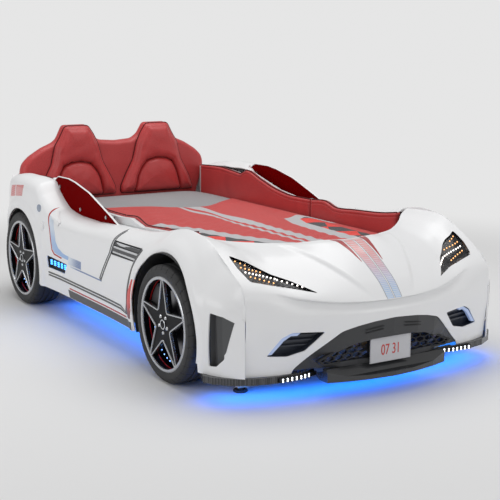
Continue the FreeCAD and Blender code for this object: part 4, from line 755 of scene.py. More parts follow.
STAR = softened(star_outline(), 7.0, 4)
EDGE_SECTION = [(0, 15), (0, 4.2), (0.9, 3.0), (4.6, 3.0), (5.4, 4.2), (5.4, 15)]
silver_edge = band_along(STAR, [(amount, WHEEL_FACE - depth) for amount, depth in EDGE_SECTION])
RIM_SILVER = moulded("rim_silver", (0.56, 0.57, 0.59), (0.44, 0.45, 0.47), 0.26, 0.16, 700.0, 0.06,
                     Metallic=0.92)
RIM_BLACK = moulded("rim_gloss_black", (0.004, 0.004, 0.005), (0.008, 0.008, 0.009), 0.36, 0.10, 500.0, 0.03,
                    Specular_IOR_Level=0.08)
make("rim_edges", at_wheels(joined([silver_edge, turned(LIP_SECTION)])), RIM_SILVER, "hub_chrome")
star_body = prism(inset(STAR, 0.6), 1, WHEEL_FACE - 30, WHEEL_FACE - 7.5)
make("rim_stars", at_wheels(joined([star_body, turned(BARREL_SECTION)])), RIM_BLACK, "rim_black",
     replaces=["star_rims"])

# ------------------------------------------------------------------ hub caps
# A domed black cap of moulded plastic with a chromed ring and five chromed nuts round it, snapped into the
# middle of each star.
CAP_DEPTH = 7.4


def dome(centre, radius, height, sides=24, levels=5):
    """A low dome facing out of the wheel: rings that shrink by the cosine as they rise by the sine."""
    rise = np.linspace(0, 0.48 * np.pi, levels)[:, None]
    turn = np.linspace(0, 2 * np.pi, sides, endpoint=False)
    ring = radius * np.cos(rise)
    y = np.broadcast_to(WHEEL_FACE - CAP_DEPTH + height * np.sin(rise), (levels, sides))
    return closed_rings(np.stack([centre[0] + ring * np.sin(turn), y, centre[1] + ring * np.cos(turn)], -1))


NUT_CIRCLE, NUT_RADIUS, NUT_HEIGHT = 32.0, 7.5, 5.0
CAP_RING = [(19, CAP_DEPTH), (19, 4.4), (17.5, 3.4), (14, 4.0), (14, CAP_DEPTH)]
nut_places = disc_outline((0, 0), NUT_CIRCLE, 2 * ARMS)[1::2]
nuts = [dome(place[::-1], NUT_RADIUS, NUT_HEIGHT, 6, 3) for place in nut_places]
cap_ring = turned(CAP_RING, 48)
HUB_CHROME = moulded("hub_chrome", (0.62, 0.63, 0.65), (0.5, 0.51, 0.53), 0.12, 0.1, 800.0, 0.03,
                     Metallic=1.0)
make("hub_nuts_and_ring", at_wheels(joined(nuts + [cap_ring])), HUB_CHROME, "hub_chrome",
     replaces=["hub_caps"])
make("hub_domes", at_wheels(dome((0, 0), 13.6, 3.2)), RIM_BLACK, "rim_black")

# ------------------------------------------------------------------ brake discs and calipers
# Drilled steel-look discs of moulded plastic on their hubs, with the grey caliper over each. The CAD disc's
# hub stays; the drilled ring lies over its face.
DISC_DEPTH = 61.6
DISC_METAL = moulded("disc_metal", (0.30, 0.30, 0.31), (0.20, 0.20, 0.21), 0.32, 0.2, 60.0, 0.10,
                     Metallic=0.9)
CALIPER_GREY = moulded("caliper_grey", (0.10, 0.10, 0.105), (0.075, 0.075, 0.08), 0.42, 0.15, 420.0, 0.12)


def dress(material, *names):
    """Gives carried-over CAD nodes a material of this file."""
    for name in names:
        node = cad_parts[name]
        if not node.material_slots:
            node.data.materials.append(material)
        for place in node.material_slots:
            place.material = material


def drilled_ring():
    """A flat ring with two circles of holes cut through it, the outer turned half a step."""
    inner, outer, hole, face = 66.0, 118.0, 3.6, WHEEL_FACE - DISC_DEPTH
    back, front = DISC_DEPTH, DISC_DEPTH - 1.6
    ring = turned([(inner, back), (inner, front), (outer, front), (outer, back)], 96)
    turn = 2 * np.pi * np.arange(20) / 20
    places = [(r * math.sin(a + lean), r * math.cos(a + lean))
              for r, lean in ((80, 0), (102, 0.157)) for a in turn]
    return carved(ring, [prism(disc_outline(place, hole, 10), 1, face - 4, face + 6) for place in places])


make("brake_disc_faces", at_wheels(drilled_ring()), DISC_METAL, "disc_metal")
dress(DISC_METAL, "brake_discs")
dress(CALIPER_GREY, "brake_calipers")

# ------------------------------------------------------------------ wheel lamps
# A ring of small blue lamp chips on a black plastic carrier inside each barrel, and a thin red line painted
# round the barrel in front of it.
CHIP_RADIUS, CHIP_DEPTH, CHIPS = 150.0, 46.0, 40


def ball(radius, rows=4, columns=6):
    """A small closed ball: rings between two poles, the radius times sine and cosine of each ring's angle."""
    rise = np.linspace(0.12 * np.pi, 0.88 * np.pi, rows)[:, None]
    turn = np.linspace(0, 2 * np.pi, columns, endpoint=False)
    rings = np.broadcast_arrays(np.sin(rise) * np.cos(turn), np.sin(rise) * np.sin(turn), np.cos(rise))
    return closed_rings(radius * np.stack(rings, -1))


def repeated(part, places):
    """The part at every place, as one mesh: its vertices plus each place, its faces renumbered."""
    vertices, faces = np.asarray(part[0]), part[1]
    points = (np.asarray(places, float)[:, None, :] + vertices[None]).reshape(-1, 3)
    count = len(vertices)
    return points, [[v + n * count for v in face] for n in range(len(places)) for face in faces]


def glowing(name, colour, strength):
    """A lamp chip under clear resin: an uneven tinted body that gives light."""
    return moulded(name, tuple(0.8 * c for c in colour), colour, 0.2, 0.1, 300.0, 0.05,
                   Emission_Color=(*colour, 1), Emission_Strength=strength)


chip_circle = disc_outline((0, 0), CHIP_RADIUS, CHIPS)
chip_places = np.insert(chip_circle, 1, WHEEL_FACE - CHIP_DEPTH, axis=1)
CHIP_RING = [(156, CHIP_DEPTH + 8), (156, CHIP_DEPTH), (144, CHIP_DEPTH), (144, CHIP_DEPTH + 8)]
RED_SECTION = [(168.4, 36), (166.2, 36), (166.2, 32), (168.0, 32)]
CHIP_BLUE = glowing("chip_blue", (0.22, 0.45, 1.0), 3.2)
RED_LINE = moulded("red_line", (0.50, 0.010, 0.012), (0.40, 0.008, 0.010), 0.3, 0.1, 400.0, 0.05)
make("wheel_chips", at_wheels(repeated(ball(2.6), chip_places)), CHIP_BLUE, "lamp_chip")
make("chip_rings", at_wheels(turned(CHIP_RING, 96)), RIM_BLACK, "rim_black")
make("rim_red_lines", at_wheels(turned(RED_SECTION, 120)), RED_LINE, "red_acrylic")

# ------------------------------------------------------------------ arch liners
# Half-round black liners of thin moulded plastic, fixed between each wheel and the wooden frame. The CAD
# shapes stay and only get their finish here.
LINER_BLACK = moulded("liner_black", (0.012, 0.012, 0.013), (0.020, 0.020, 0.021), 0.7, 0.2, 300.0, 0.2)
dress(LINER_BLACK, "arch_liners")

# ------------------------------------------------------------------ arch lips
# A rounded white lip round each wheel opening, proud of the flank. It is moulded in one with the flank and
# stiffens its cut edge.
def swept(path, across, out, profile):
    """A closed tube: at each path point the profile's (across, out) is laid along two directions."""
    across, out = (np.broadcast_to(np.asarray(way, float), path.shape)[:, None] for way in (across, out))
    profile = np.asarray(profile, float)
    return closed_rings(path[:, None] + across * profile[:, :1] + out * profile[:, 1:])


def round_profile(width, height, sides=14):
    """An oval of a width and a height about nought."""
    return disc_outline((0, 0), 0.5, sides) * (width, height)


def arch_lip(centre, radius, low):
    """A rounded strip along the opening's arc, from one foot over the top to the other."""
    end = math.acos(min(1.0, (low - WHEEL_Z) / radius))
    turn = np.linspace(-end, end, 150)
    x, z = centre + radius * np.sin(turn), WHEEL_Z + radius * np.cos(turn)
    path = np.stack([x, side_face(x, z) - 2.0, z], -1)
    across = np.stack([np.sin(turn), np.zeros_like(turn), np.cos(turn)], -1)
    return swept(path, across, (0, 1, 0), round_profile(9.0, 8.0))


lips = [arch_lip(centre, radius + 3.0, SILL_Z + 4) for centre, radius, band in ARCHES]
make("arch_lips", both_sides(joined(lips)), WHITE_SHELL, "white_shell", crease=60)

# ------------------------------------------------------------------ flank trims
# Printed strips on the flanks: thin vinyl that follows the moulding, laid on by hand. There are red lines, a
# pale blue band, a blue patch, a red strip behind the front arch and two red blocks near the tail.
def evenly(line, spacing=None, closed=True, count=None):
    """Points at equal steps of running length along a polyline: count of them, or one per spacing."""
    points = np.asarray(line, float)
    if closed:
        points = np.concatenate([points, points[:1]])
    length = np.concatenate([[0], np.cumsum(np.linalg.norm(np.diff(points, axis=0), axis=1))])
    count = count or max(8, int(length[-1] / spacing))
    at = np.linspace(0, length[-1], count, endpoint=not closed)
    return np.stack([np.interp(at, length, points[:, k]) for k in (0, 1)], -1)


def facing_slab(points, axis, thick, rise):
    """A thin closed sheet on a grid of points, pushed out by rise towards the positive end of an axis."""
    ahead = outward(points)[..., axis].mean() > 0
    return outward_again(slab(points if ahead else points[:, ::-1], thick, rise))


def laid_strip(lower, upper, rise=0.45, thick=0.5, steps=90, across=7):
    """A thin closed strip on the flank: its grid blends from one (x, z) line to the other."""
    low, high = (evenly(line, closed=False, count=steps)[:, None] for line in (lower, upper))
    t = np.linspace(0, 1, across)[None, :, None]
    flat = low * (1 - t) + high * t
    points = np.insert(flat, 1, side_face(flat[..., 0], flat[..., 1]), axis=2)
    return facing_slab(points, 1, thick, rise)


def print_vinyl(name, low_colour, high_colour, axis, start, end, dots=0.0, paper=0.30):
    """Vinyl whose ink runs from one colour to another along an axis, broken into dots on request."""
    material = moulded(name, low_colour, low_colour, 0.32, 0.08, 500.0, 0.04, Coat_Weight=0.3)
    tree = material.node_tree
    shader = tree.nodes["Principled BSDF"]
    where = tree.nodes.new("ShaderNodeTexCoord")
    parts = tree.nodes.new("ShaderNodeSeparateXYZ")
    tree.links.new(where.outputs["Object"], parts.inputs[0])
    ramp = tree.nodes.new("ShaderNodeMapRange")
    ramp.interpolation_type = "SMOOTHSTEP"
    ramp.inputs["From Min"].default_value = start * MM
    ramp.inputs["From Max"].default_value = end * MM
    tree.links.new(parts.outputs[axis], ramp.inputs["Value"])
    surface = next(node for node in tree.nodes if node.type == "GROUP").outputs["Colour"]
    colour = blended(tree, ramp.outputs["Result"], surface, high_colour)
    if dots:
        raster = tree.nodes.new("ShaderNodeTexVoronoi")
        raster.inputs["Scale"].default_value = dots
        raster.inputs["Randomness"].default_value = 0.0
        tree.links.new(where.outputs["Object"], raster.inputs["Vector"])
        mask = calculate(tree, "GREATER_THAN", raster.outputs["Distance"], 0.46)
        colour = blended(tree, calculate(tree, "MULTIPLY", mask, paper), colour, (0.78, 0.79, 0.81))
    tree.links.new(colour, shader.inputs["Base Color"])
    return material


red_door_line = np.array([
    (-468, 490), (-464, 468), (-453, 430), (-432, 370), (-410, 316), (-384, 300), (-308, 294),
])
band_left = [(-460, 478), (-448, 430), (-427, 370), (-404, 322), (-378, 306), (-304, 300), (-236, 298)]
band_right = [(-436, 478), (-410, 440), (-396, 404), (-376, 357), (-346, 333), (-293, 318), (-230, 314)]
red_lines = [laid_strip(red_door_line - 3, red_door_line + 3),
             laid_strip([(-236, 171), (344, 171)], [(-236, 177), (344, 177)])]
blue_patches = [laid_strip([(-236, 280), (-97, 281)], [(-228, 314), (-96, 314)], 0.8, 0.9),
                laid_strip([(-214, 271), (112, 270)], [(-214, 277), (112, 276)], 0.8, 0.9, 60)]
fender_strip = laid_strip([(352, 178), (372, 232), (392, 288), (426, 340)],
                          [(398, 178), (408, 232), (424, 288), (450, 341)])
tail_blocks = [laid_strip([(-926, 493), (-850, 503)], [(-909, 547), (-838, 556)], 0.8, 0.9, 14),
               laid_strip([(-838, 505), (-748, 515)], [(-826, 558), (-732, 566)], 0.8, 0.9, 20)]
PALE_BAND = print_vinyl("pale_band_ink", (0.24, 0.44, 0.78), (0.70, 0.77, 0.85), 2, 300, 480, 160.0)
BLUE_PATCH = print_vinyl("blue_patch_ink", (0.66, 0.74, 0.84), (0.030, 0.12, 0.36), 0, -230, -120, 150.0)
RED_STRIP = print_vinyl("red_strip_ink", (0.10, 0.012, 0.014), (0.66, 0.075, 0.07), 2, 178, 250)
TAIL_BLOCK = print_vinyl("tail_block_ink", (0.58, 0.05, 0.05), (0.62, 0.10, 0.09), 0, -926, -735, 110.0)
make("flank_red_lines", both_sides(joined(red_lines)), RED_LINE, "red_acrylic")
make("flank_pale_bands", both_sides(laid_strip(band_left, band_right, 0.8, 0.9)), PALE_BAND, "plate_white")
make("flank_blue_patches", both_sides(joined(blue_patches)), BLUE_PATCH, "plate_white")
make("fender_red_strips", both_sides(fender_strip), RED_STRIP, "red_acrylic")
make("tail_red_blocks", both_sides(joined(tail_blocks)), TAIL_BLOCK, "red_acrylic")

# ------------------------------------------------------------------ door panel edges, vents and sill panels
# Dark grey moulded inlays pressed into the flank's grooves, dark strips of painted shadow along the grooves'
# sides, the louvred vent behind the front wheel and the grey sill panel below the door.
TRIM_GREY = moulded("trim_grey", (0.085, 0.087, 0.090), (0.065, 0.067, 0.070), 0.42, 0.14, 420.0, 0.12)
TRIM_DARK = moulded("trim_dark", (0.030, 0.030, 0.032), (0.045, 0.045, 0.047), 0.36, 0.16, 420.0, 0.12)
VENT_LIGHT = moulded("vent_light_grey", (0.66, 0.67, 0.69), (0.58, 0.59, 0.61), 0.3, 0.1, 420.0, 0.06)
GROOVE_GREY = moulded("groove_grey", (0.20, 0.205, 0.21), (0.16, 0.165, 0.17), 0.40, 0.12, 420.0, 0.10)
DOOR_GROOVE = np.array([(224, 488), (210, 456), (186, 396), (101, 277)], float)
SILL_GROOVE = np.array([(-455, 203), (295, 203), (347, 190), (420, 392), (455, 455)], float)
dress(TRIM_GREY, "groove_trims", "sill_panels", "corner_intakes", "side_vents")
dress(WHITE_SHELL, "door_handles")


def sideways(line):
    """Unit normals of a flat line: its direction at each point, a quarter turn round."""
    along = np.gradient(line, axis=0)
    along /= np.linalg.norm(along, axis=1, keepdims=True)
    return np.stack([-along[:, 1], along[:, 0]], -1)


def ridge(line, width, height, steps=120):
    """A raised rounded bead along a line on the flank, whose corners are eased by a running mean of five."""
    flat = evenly(line, closed=False, count=steps)
    eased = [np.convolve(np.pad(flat[:, k], 2, mode="edge"), np.ones(5) / 5, "valid") for k in (0, 1)]
    flat = np.stack(eased, -1)
    path = np.insert(flat, 1, side_face(flat[:, 0], flat[:, 1]), axis=1)
    return swept(path, np.insert(sideways(flat), 1, 0.0, axis=1), (0, 1, 0), round_profile(width, height, 10))


def groove_shadow_strips(line, width, reach=6.0):
    """Painted shadow: two narrow dark strips along a groove, one at each side of its middle line."""
    side = sideways(line)
    half = 0.5 * width
    return [laid_strip(line + side * (shift - half), line + side * (shift + half), 1.3, 1.5, 120, 3)
            for shift in (-reach, reach)]


def vent_bar(drop):
    """One light bar of the vent's louvres, so far below the first, shorter at both ends as it goes down."""
    rear, front = 212 - drop * 0.2, 438 - drop * 0.5
    lower, upper = [(rear, 438 - drop), (front, 441 - drop)], [(rear, 449 - drop), (front + 6, 452 - drop)]
    return laid_strip(lower, upper, -1.0, 3.0, 30, 4)


vent_bars = [vent_bar(drop) for drop in (0, 17, 34)]
intake_face = laid_strip([(1030, 318), (1030, 176)], [(1062, 300), (1040, 196)], 0.8, 1.0, 40, 5)
sill_face = laid_strip([(-240, 134), (404, 134)], [(-252, 166), (404, 166)], 1.0, 2.0)
groove_bands = [laid_strip(line - (8.0, 0), line + (8.0, 0), 1.0, 1.2, 120, 7)
                for line in (DOOR_GROOVE, SILL_GROOVE[2:])]
groove_shadow_lines = groove_shadow_strips(DOOR_GROOVE, 7.0) + groove_shadow_strips(SILL_GROOVE, 6.5)
white_beads = [ridge(line, 5.0, 4.0) for line in
               (DOOR_GROOVE + (7, 9), SILL_GROOVE[:3] + (2, -12), SILL_GROOVE[2:4] + (-12, 3))]
make("corner_intake_faces", both_sides(intake_face), TRIM_GREY, "dark_trim")
make("vent_light_bars", both_sides(joined(vent_bars)), VENT_LIGHT, "grey_trim")
make("groove_bands", both_sides(joined(groove_bands)), GROOVE_GREY, "grey_trim")
# Painted shadow lines along the grooves' sides, in the grey trim's colour.
make("groove_shadow_lines", both_sides(joined(groove_shadow_lines)), TRIM_GREY, "grey_trim")
make("sill_panel_faces", both_sides(sill_face), TRIM_GREY, "grey_trim")
make("door_panel_beads", both_sides(joined(white_beads)), WHITE_SHELL, "white_shell", crease=60)

# ------------------------------------------------------------------ filler caps and recess lamps
# A white moulded cap and a printed grey-blue disc on each rear flank, and five groups of blue-white lamp
# chips in the dark recess below the door line.
ROUND_MARK = moulded("round_mark_blue", (0.20, 0.26, 0.36), (0.30, 0.34, 0.42), 0.3, Coat_Weight=0.3)
CHIP_SKY = glowing("chip_sky", (0.06, 0.34, 1.0), 3.2)
MARK_X, MARK_Z, MARK_HALF_WIDE, MARK_HALF_HIGH = -554.0, 482.0, 20.0, 17.0
turn = np.linspace(0.97 * np.pi, 0.03 * np.pi, 24)
mark_upper = np.stack([MARK_X + MARK_HALF_WIDE * np.cos(turn), MARK_Z + MARK_HALF_HIGH * np.sin(turn)], -1)
mark_lower = mark_upper * (1, -1) + (0, 2 * MARK_Z)
GROUP_START, GROUP_STEP, GROUPS, RECESS_DEPTH = -438.0, 36.0, 5, 6.5
GROUP_COLUMNS, GROUP_ROWS = [3.0, 12.0], [249.0, 257.0, 265.0]
chip_x = (GROUP_START + GROUP_STEP * np.arange(GROUPS)[:, None] + GROUP_COLUMNS).ravel()
chip_grid = np.stack(np.meshgrid(chip_x, GROUP_ROWS, indexing="ij"), -1).reshape(-1, 2)
chip_y = side_face(chip_grid[:, 0], chip_grid[:, 1]) - RECESS_DEPTH
recess_places = np.insert(chip_grid, 1, chip_y, axis=1)
dress(WHITE_SHELL, "fuel_caps")
dress(TRIM_DARK, "recess_lamps")
round_mark = laid_strip(mark_lower, mark_upper, 1.0, 1.2, 24, 9)
make("flank_round_marks", both_sides(round_mark), ROUND_MARK, "grey_trim")
make("recess_chips", both_sides(repeated(ball(3.2), recess_places)), CHIP_SKY, "lamp_chip")

# ------------------------------------------------------------------ headboard
# Red imitation leather over foam: a back cushion on the head panel, two raised seat shapes with headrests on
# it, and a rounded lumbar pillow let into each. Covers are sewn panel by panel and stapled behind.
SEAT_MIDDLE, HOLLOW_FLOOR = 224.0, 13.0
BED_HALF, BED_HEAD, BED_FOOT, BED_TOP = 450.0, -1073.0, 927.0, 435.0
CUSHION_BACK, CUSHION_FACE, SEAT_FACE = -1130.0, -1094.0, -1056.0
HEAD_OUTLINE = [
    (436, 303), (480, 440), (508, 520), (514, 582), (503, 619), (468, 653), (402, 693),
    (345, 716), (322, 734), (288, 803), (159, 803), (125, 746), (90, 722), (0, 715),
]
SEAT_OUTLINE = [
    (436, 444), (415, 510), (362, 611), (340, 705), (318, 738), (286, 800), (161, 800), (128, 750),
    (108, 705), (84, 615), (40, 535), (14, 480), (14, 444),
]
LUMBAR_OUTLINE = [
    (358, 446), (346, 500), (330, 554), (306, 602), (266, 620), (214, 625), (156, 612), (122, 572),
    (102, 530), (86, 446),
]


def leather_group():
    """Imitation leather: cells for the pebbled grain, with painted shade that darkens its creases, and slow
    wear and pores.
    """
    group, given, put = new_group("leather_grain", {
        "Vector": None, "Colour": (0.5, 0.1, 0.1, 1), "Dark": (0.3, 0.05, 0.05, 1), "Cell Scale": 420.0})
    read = given.outputs
    cells = group.nodes.new("ShaderNodeTexVoronoi")
    group.links.new(read["Vector"], cells.inputs["Vector"])
    group.links.new(read["Cell Scale"], cells.inputs["Scale"])
    fine = noise(group, read["Vector"], 1400.0, 2.0)
    drift = noise(group, read["Vector"], 5.0, 4.0, 0.6)
    # Painted shade: the grain's creases, far from each cell's middle, are mixed towards Dark.
    crease_shade = calculate(group, "MULTIPLY", cells.outputs["Distance"], 0.55)
    shade = calculate(group, "MULTIPLY_ADD", drift, 0.5, crease_shade)
    gloss = calculate(group, "MULTIPLY_ADD", drift, 0.16, 0.32)
    height = calculate(group, "SUBTRACT", calculate(group, "MULTIPLY", fine, 0.3), cells.outputs["Distance"])
    return handed_out(group, put, blended(group, shade, read["Colour"], read["Dark"]), gloss, height)


LEATHER = leather_group()


# Dark is the tone of the slow wear and of the painted shade in the grain's creases.
RED_LEATHER = grouped_material("red_leather", LEATHER, {
    "Colour": (0.68, 0.072, 0.070, 1), "Dark": (0.30, 0.014, 0.016, 1), "Cell Scale": 380.0}, 0.30,
    Specular_IOR_Level=0.55, Sheen_Weight=0.16, Sheen_Roughness=0.35)
# Painted shade: the piping is a near-black red, so real cords also stand for the shade in the seams where the
# covers meet.
SHADE_DARK_PIPING = grouped_material("shade_dark_piping", LEATHER, {
    "Colour": (0.12, 0.006, 0.008, 1), "Dark": (0.06, 0.003, 0.004, 1), "Cell Scale": 520.0}, 0.25,
    Specular_IOR_Level=0.3)


def nearness(points, line, closed=True):
    """Least distance from each flat point to a polyline: to the foot of its perpendicular on each stretch."""
    line = np.asarray(line, float)
    start = line if closed else line[:-1]
    end = np.roll(line, -1, 0) if closed else line[1:]
    shape = points.shape[:-1]
    flat = points.reshape(-1, 2)
    best = np.full(len(flat), 1e9)
    for a, b in zip(start, end):
        run = b - a
        t = np.clip(((flat - a) @ run) / max(run @ run, 1e-9), 0, 1)
        best = np.minimum(best, np.linalg.norm(flat - a - t[:, None] * run, axis=1))
    return best.reshape(shape)


def within(points, outline):
    """Whether each flat point lies inside an outline: it crosses an odd number of edges on its way out."""
    x, y = points[..., 0], points[..., 1]
    inside = np.zeros(x.shape, bool)
    outline = np.asarray(outline, float)
    for (ax, ay), (bx, by) in zip(outline, np.roll(outline, -1, 0)):
        if ay != by:
            inside ^= ((y < ay) != (y < by)) & (x < (bx - ax) * (y - ay) / (by - ay) + ax)
    return inside


def rounded(distance, radius):
    """Quarter-circle edge: the root of one less the square of what is left to the radius, flat past it."""
    t = np.clip(distance / radius, 0, 1)
    return np.sqrt(np.maximum(1 - (1 - t) ** 2, 0))


def upholstered(outline, centre, height, levels=64, spacing=7.0):
    """A padded panel on a flat back: rings of the outline drawn towards the centre, each raised by height of
    its points. Returns rings of (y, z) and their heights, from the back's centre round to the face's."""
    rim = evenly(softened(outline, 14.0, 4), spacing)
    near_rim, inner = 1 - np.linspace(0, 0.25, levels // 3) ** 1.6, np.linspace(0.86, 0.02, levels)
    share = np.unique(np.concatenate([near_rim, inner]))[::-1]
    back, flat = (np.asarray(centre) + (rim - np.asarray(centre)) * np.asarray(part)[:, None, None]
                  for part in ((0.02, 0.5, 0.985), share))
    heights = [np.zeros(back.shape[:2]), height(flat, nearness(flat, rim))]
    return np.concatenate([back, flat]), np.concatenate(heights)


def facing_forward(rings, heights, base):
    """The panel's rings laid on a plane across the bed, its height towards the nose, closed at both poles."""
    return closed_rings(np.insert(rings, 0, base + heights, axis=2))


def folds(flat, spacing, lean, depth, seed):
    """Soft creases: a sine along a leaning direction, whose strength fades in and out by a slower sine."""
    across = flat[..., 0] * math.cos(lean) + flat[..., 1] * math.sin(lean)
    down = flat[..., 1] * math.cos(lean) - flat[..., 0] * math.sin(lean)
    fade = np.clip(np.sin(down / (spacing * 1.9) + seed) * 0.7 + 0.3, 0, 1)
    return depth * fade * np.sin(across / spacing * 2 * np.pi + 2.2 * np.sin(down / (spacing * 2.7) + seed))


def back_cushion_height(flat, edge):
    """Thickness with rolled edges, a low crown, and creases that gather beside the seats."""
    roll = (CUSHION_FACE - CUSHION_BACK) * rounded(edge, 24.0)
    return roll + 4.0 * np.clip(edge / 120.0, 0, 1) + folds(flat, 90.0, 0.3, 0.8, 1.0) * (edge > 20)


def seat_height(flat, edge):
    """The seat shape: rolled edges, a hollow for the lumbar pillow whose rim falls off by an exponential, and
    a valley down each side of the headrest, a bell curve of the distance from its line."""
    height = 0.4 + (SEAT_FACE - CUSHION_FACE) * rounded(edge, 46.0) + 13.0 * rounded(edge - 20, 70.0)
    near, inside = nearness(flat, LUMBAR_OUTLINE), within(flat, LUMBAR_OUTLINE)
    hollow = np.where(inside, np.clip(0.7 + near / 12, 0, 1), 0.55 * np.exp(-near / 9.0))
    height = height - (height - HOLLOW_FLOOR) * hollow
    for sign in (1, -1):
        valley = [(SEAT_MIDDLE + sign * out, z) for out, z in ((52, 800), (66, 720), (92, 660))]
        height -= 2.6 * np.exp(-(nearness(flat, valley, closed=False) / 9.0) ** 2) * ~inside
    return height + folds(flat, 70.0, 1.2, 0.6, 2.0) * ~inside * np.clip(edge / 40, 0, 1)


def lumbar_height(flat, edge):
    """A full pillow that rises quickly at its seam and swells to the middle, with faint strain creases."""
    swell = HOLLOW_FLOOR + 16.0 * rounded(edge, 26.0) + 24.0 * rounded(edge, 100.0)
    return swell + folds(flat, 60.0, 0.9, 0.5, 0.4) * (edge > 16)


def outline_tube(outline, base, radius):
    """Piping: a thin round cord sewn along a closed outline on a plane across the bed."""
    line = evenly(softened(outline, 14.0, 4), 8.0)
    side = sideways(np.concatenate([line[-1:], line, line[:1]]))[1:-1, None]
    turn = np.linspace(0, 2 * np.pi, 8, endpoint=False)
    flat = line[:, None] + radius * np.cos(turn)[:, None] * side
    return closed_rings(np.insert(flat, 0, base + radius * np.sin(turn), axis=2), True)


COVER_BACK = CUSHION_FACE + 0.3
head_rings = upholstered(closed_mirror(HEAD_OUTLINE), (0, 500), back_cushion_height, spacing=9.0)
seat_rings = upholstered(SEAT_OUTLINE, (225, 590), seat_height)
pillow_rings = upholstered(inset(LUMBAR_OUTLINE, 2.5), (SEAT_MIDDLE, 520), lumbar_height)
seat, pillow = facing_forward(*seat_rings, COVER_BACK), facing_forward(*pillow_rings, COVER_BACK)
cushion = facing_forward(*head_rings, CUSHION_BACK)
back_cushion = make("back_cushion_cover", cushion, RED_LEATHER, "red_leather", crease=180,
                    replaces=["headboard_cushion"])
for side in ("left", "right"):
    for name, part, node in (("seat_cover_", seat, "seat_bolsters"),
                             ("lumbar_cover_", pillow, "lumbar_pads")):
        part = other_side(part) if side == "right" else part
        cover = make(name + side, part, RED_LEATHER, "red_leather", crease=180, replaces=[node])
# Piping round each seat and lumbar pillow, where the covers meet; its dark colour is painted shade.
piping = [outline_tube(inset(SEAT_OUTLINE, 0.5), CUSHION_FACE + 6.0, 3.4),
          outline_tube(inset(LUMBAR_OUTLINE, -0.5), CUSHION_FACE + 17.0, 2.4)]
make("seat_piping_painted_shade", both_sides(joined(piping)), SHADE_DARK_PIPING, "red_leather", crease=180)

# ------------------------------------------------------------------ side pads
# Two long foam pads a side, covered in the same leather and glued to the side boards, with one sewn seam and
# piping along the top edge.
PAD_BACK, PAD_FACE, PAD_BOTTOM, SEAM_DROP = 475.0, 453.0, 395.0, 17.0
PAD_TOP_KNOTS = [
    (-1076, 566), (-1011, 572), (-832, 579), (-686, 570), (-631, 566), (-560, 589), (-441, 559),
    (-296, 525), (-157, 510), (1, 512), (102, 520), (206, 499), (341, 508), (500, 518), (690, 545),
]


def side_pad(start, end):
    """A long pad: its face rises by a rounded edge at all four sides, with a seam's dip and low creases."""
    x = np.linspace(start, end, max(12, int((end - start) / 8)))[:, None]
    top = guide(PAD_TOP_KNOTS, x)
    v = np.concatenate([np.linspace(0, 0.15, 6), np.linspace(0.18, 0.8, 18), np.linspace(0.82, 1, 14)])
    z = PAD_BOTTOM + (top - PAD_BOTTOM) * v
    x = np.broadcast_to(x, z.shape)
    edge = np.minimum(np.minimum(z - PAD_BOTTOM, top - z), np.minimum(x - start, end - x))
    height = (PAD_BACK - PAD_FACE - 1.0) * rounded(edge, 9.0)
    height -= 2.4 * np.exp(-((top - z - SEAM_DROP) / 2.6) ** 2) * (edge > 3)
    height += folds(np.stack([x, z], -1), 130.0, 0.2, 0.7, start) * np.clip(edge / 12, 0, 1)
    front, back = (np.stack([x, PAD_BACK - 0.4 - rise, z], -1) for rise in (height, 0 * height))
    return closed_rings(np.concatenate([front, back[:, ::-1]], 1))


PAD_RUNS = {"rear": (-1034.0, -1.0), "front": (3.0, 626.0)}
for name, (start, end) in PAD_RUNS.items():
    part = side_pad(start, end)
    for pad in make_pair("side_pad_" + name + "_%s", part, RED_LEATHER, "red_leather", "side_pads",
                         crease=180):
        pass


def pad_cord(start, end):
    """Piping along a pad's top edge."""
    x = np.linspace(start + 4, end - 4, max(12, int((end - start) / 9)))
    path = np.stack([x, np.full_like(x, PAD_FACE + 10.0), guide(PAD_TOP_KNOTS, x) + 0.4], -1)
    up = np.insert(sideways(path[:, ::2]), 1, 0.0, axis=1)
    return swept(path, (0, 1, 0), up, round_profile(5.0, 5.0, 8))


# Piping along each pad's top edge, dark with painted shade.
pad_cords = joined([pad_cord(start, end) for start, end in PAD_RUNS.values()])
make("side_pad_piping_painted_shade", both_sides(pad_cords), SHADE_DARK_PIPING, "red_leather", crease=180)

# ------------------------------------------------------------------ mattress
# A sprung mattress that lies on the slats, in a light grey woven cover, with rounded edges and shallow
# quilting on its top.
MATTRESS_BOTTOM = 290.0


def weave_group():
    """Plain weave: the product of two sines makes the threads, with noise for lint and slow shade changes."""
    group, given, put = new_group("plain_weave", {
        "Vector": None, "Colour": (0.5, 0.5, 0.5, 1), "Dark": (0.4, 0.4, 0.4, 1), "Thread Scale": 3000.0})
    read = given.outputs
    parts = group.nodes.new("ShaderNodeSeparateXYZ")
    group.links.new(read["Vector"], parts.inputs[0])
    waves = [calculate(group, "SINE", calculate(group, "MULTIPLY", parts.outputs[axis], read["Thread Scale"]))
             for axis in (0, 1)]
    threads = calculate(group, "MULTIPLY", *waves)
    lint = noise(group, read["Vector"], 260.0, 5.0)
    patches = noise(group, read["Vector"], 4.0, 3.0, 0.5)
    shade = calculate(group, "ADD", calculate(group, "MULTIPLY_ADD", threads, 0.12, lint), patches)
    cloth = blended(group, calculate(group, "MULTIPLY", shade, 0.5), read["Colour"], read["Dark"])
    gloss = calculate(group, "MULTIPLY_ADD", lint, 0.15, 0.78)
    return handed_out(group, put, cloth, gloss, calculate(group, "MULTIPLY_ADD", lint, 0.6, threads))


WEAVE = weave_group()
GREY_SHEET = grouped_material("grey_sheet", WEAVE, {
    "Colour": (0.36, 0.365, 0.375, 1), "Dark": (0.27, 0.275, 0.285, 1), "Thread Scale": 4200.0}, 0.35, 0.0006,
    Sheen_Weight=0.15, Sheen_Roughness=0.6, Specular_IOR_Level=0.15)


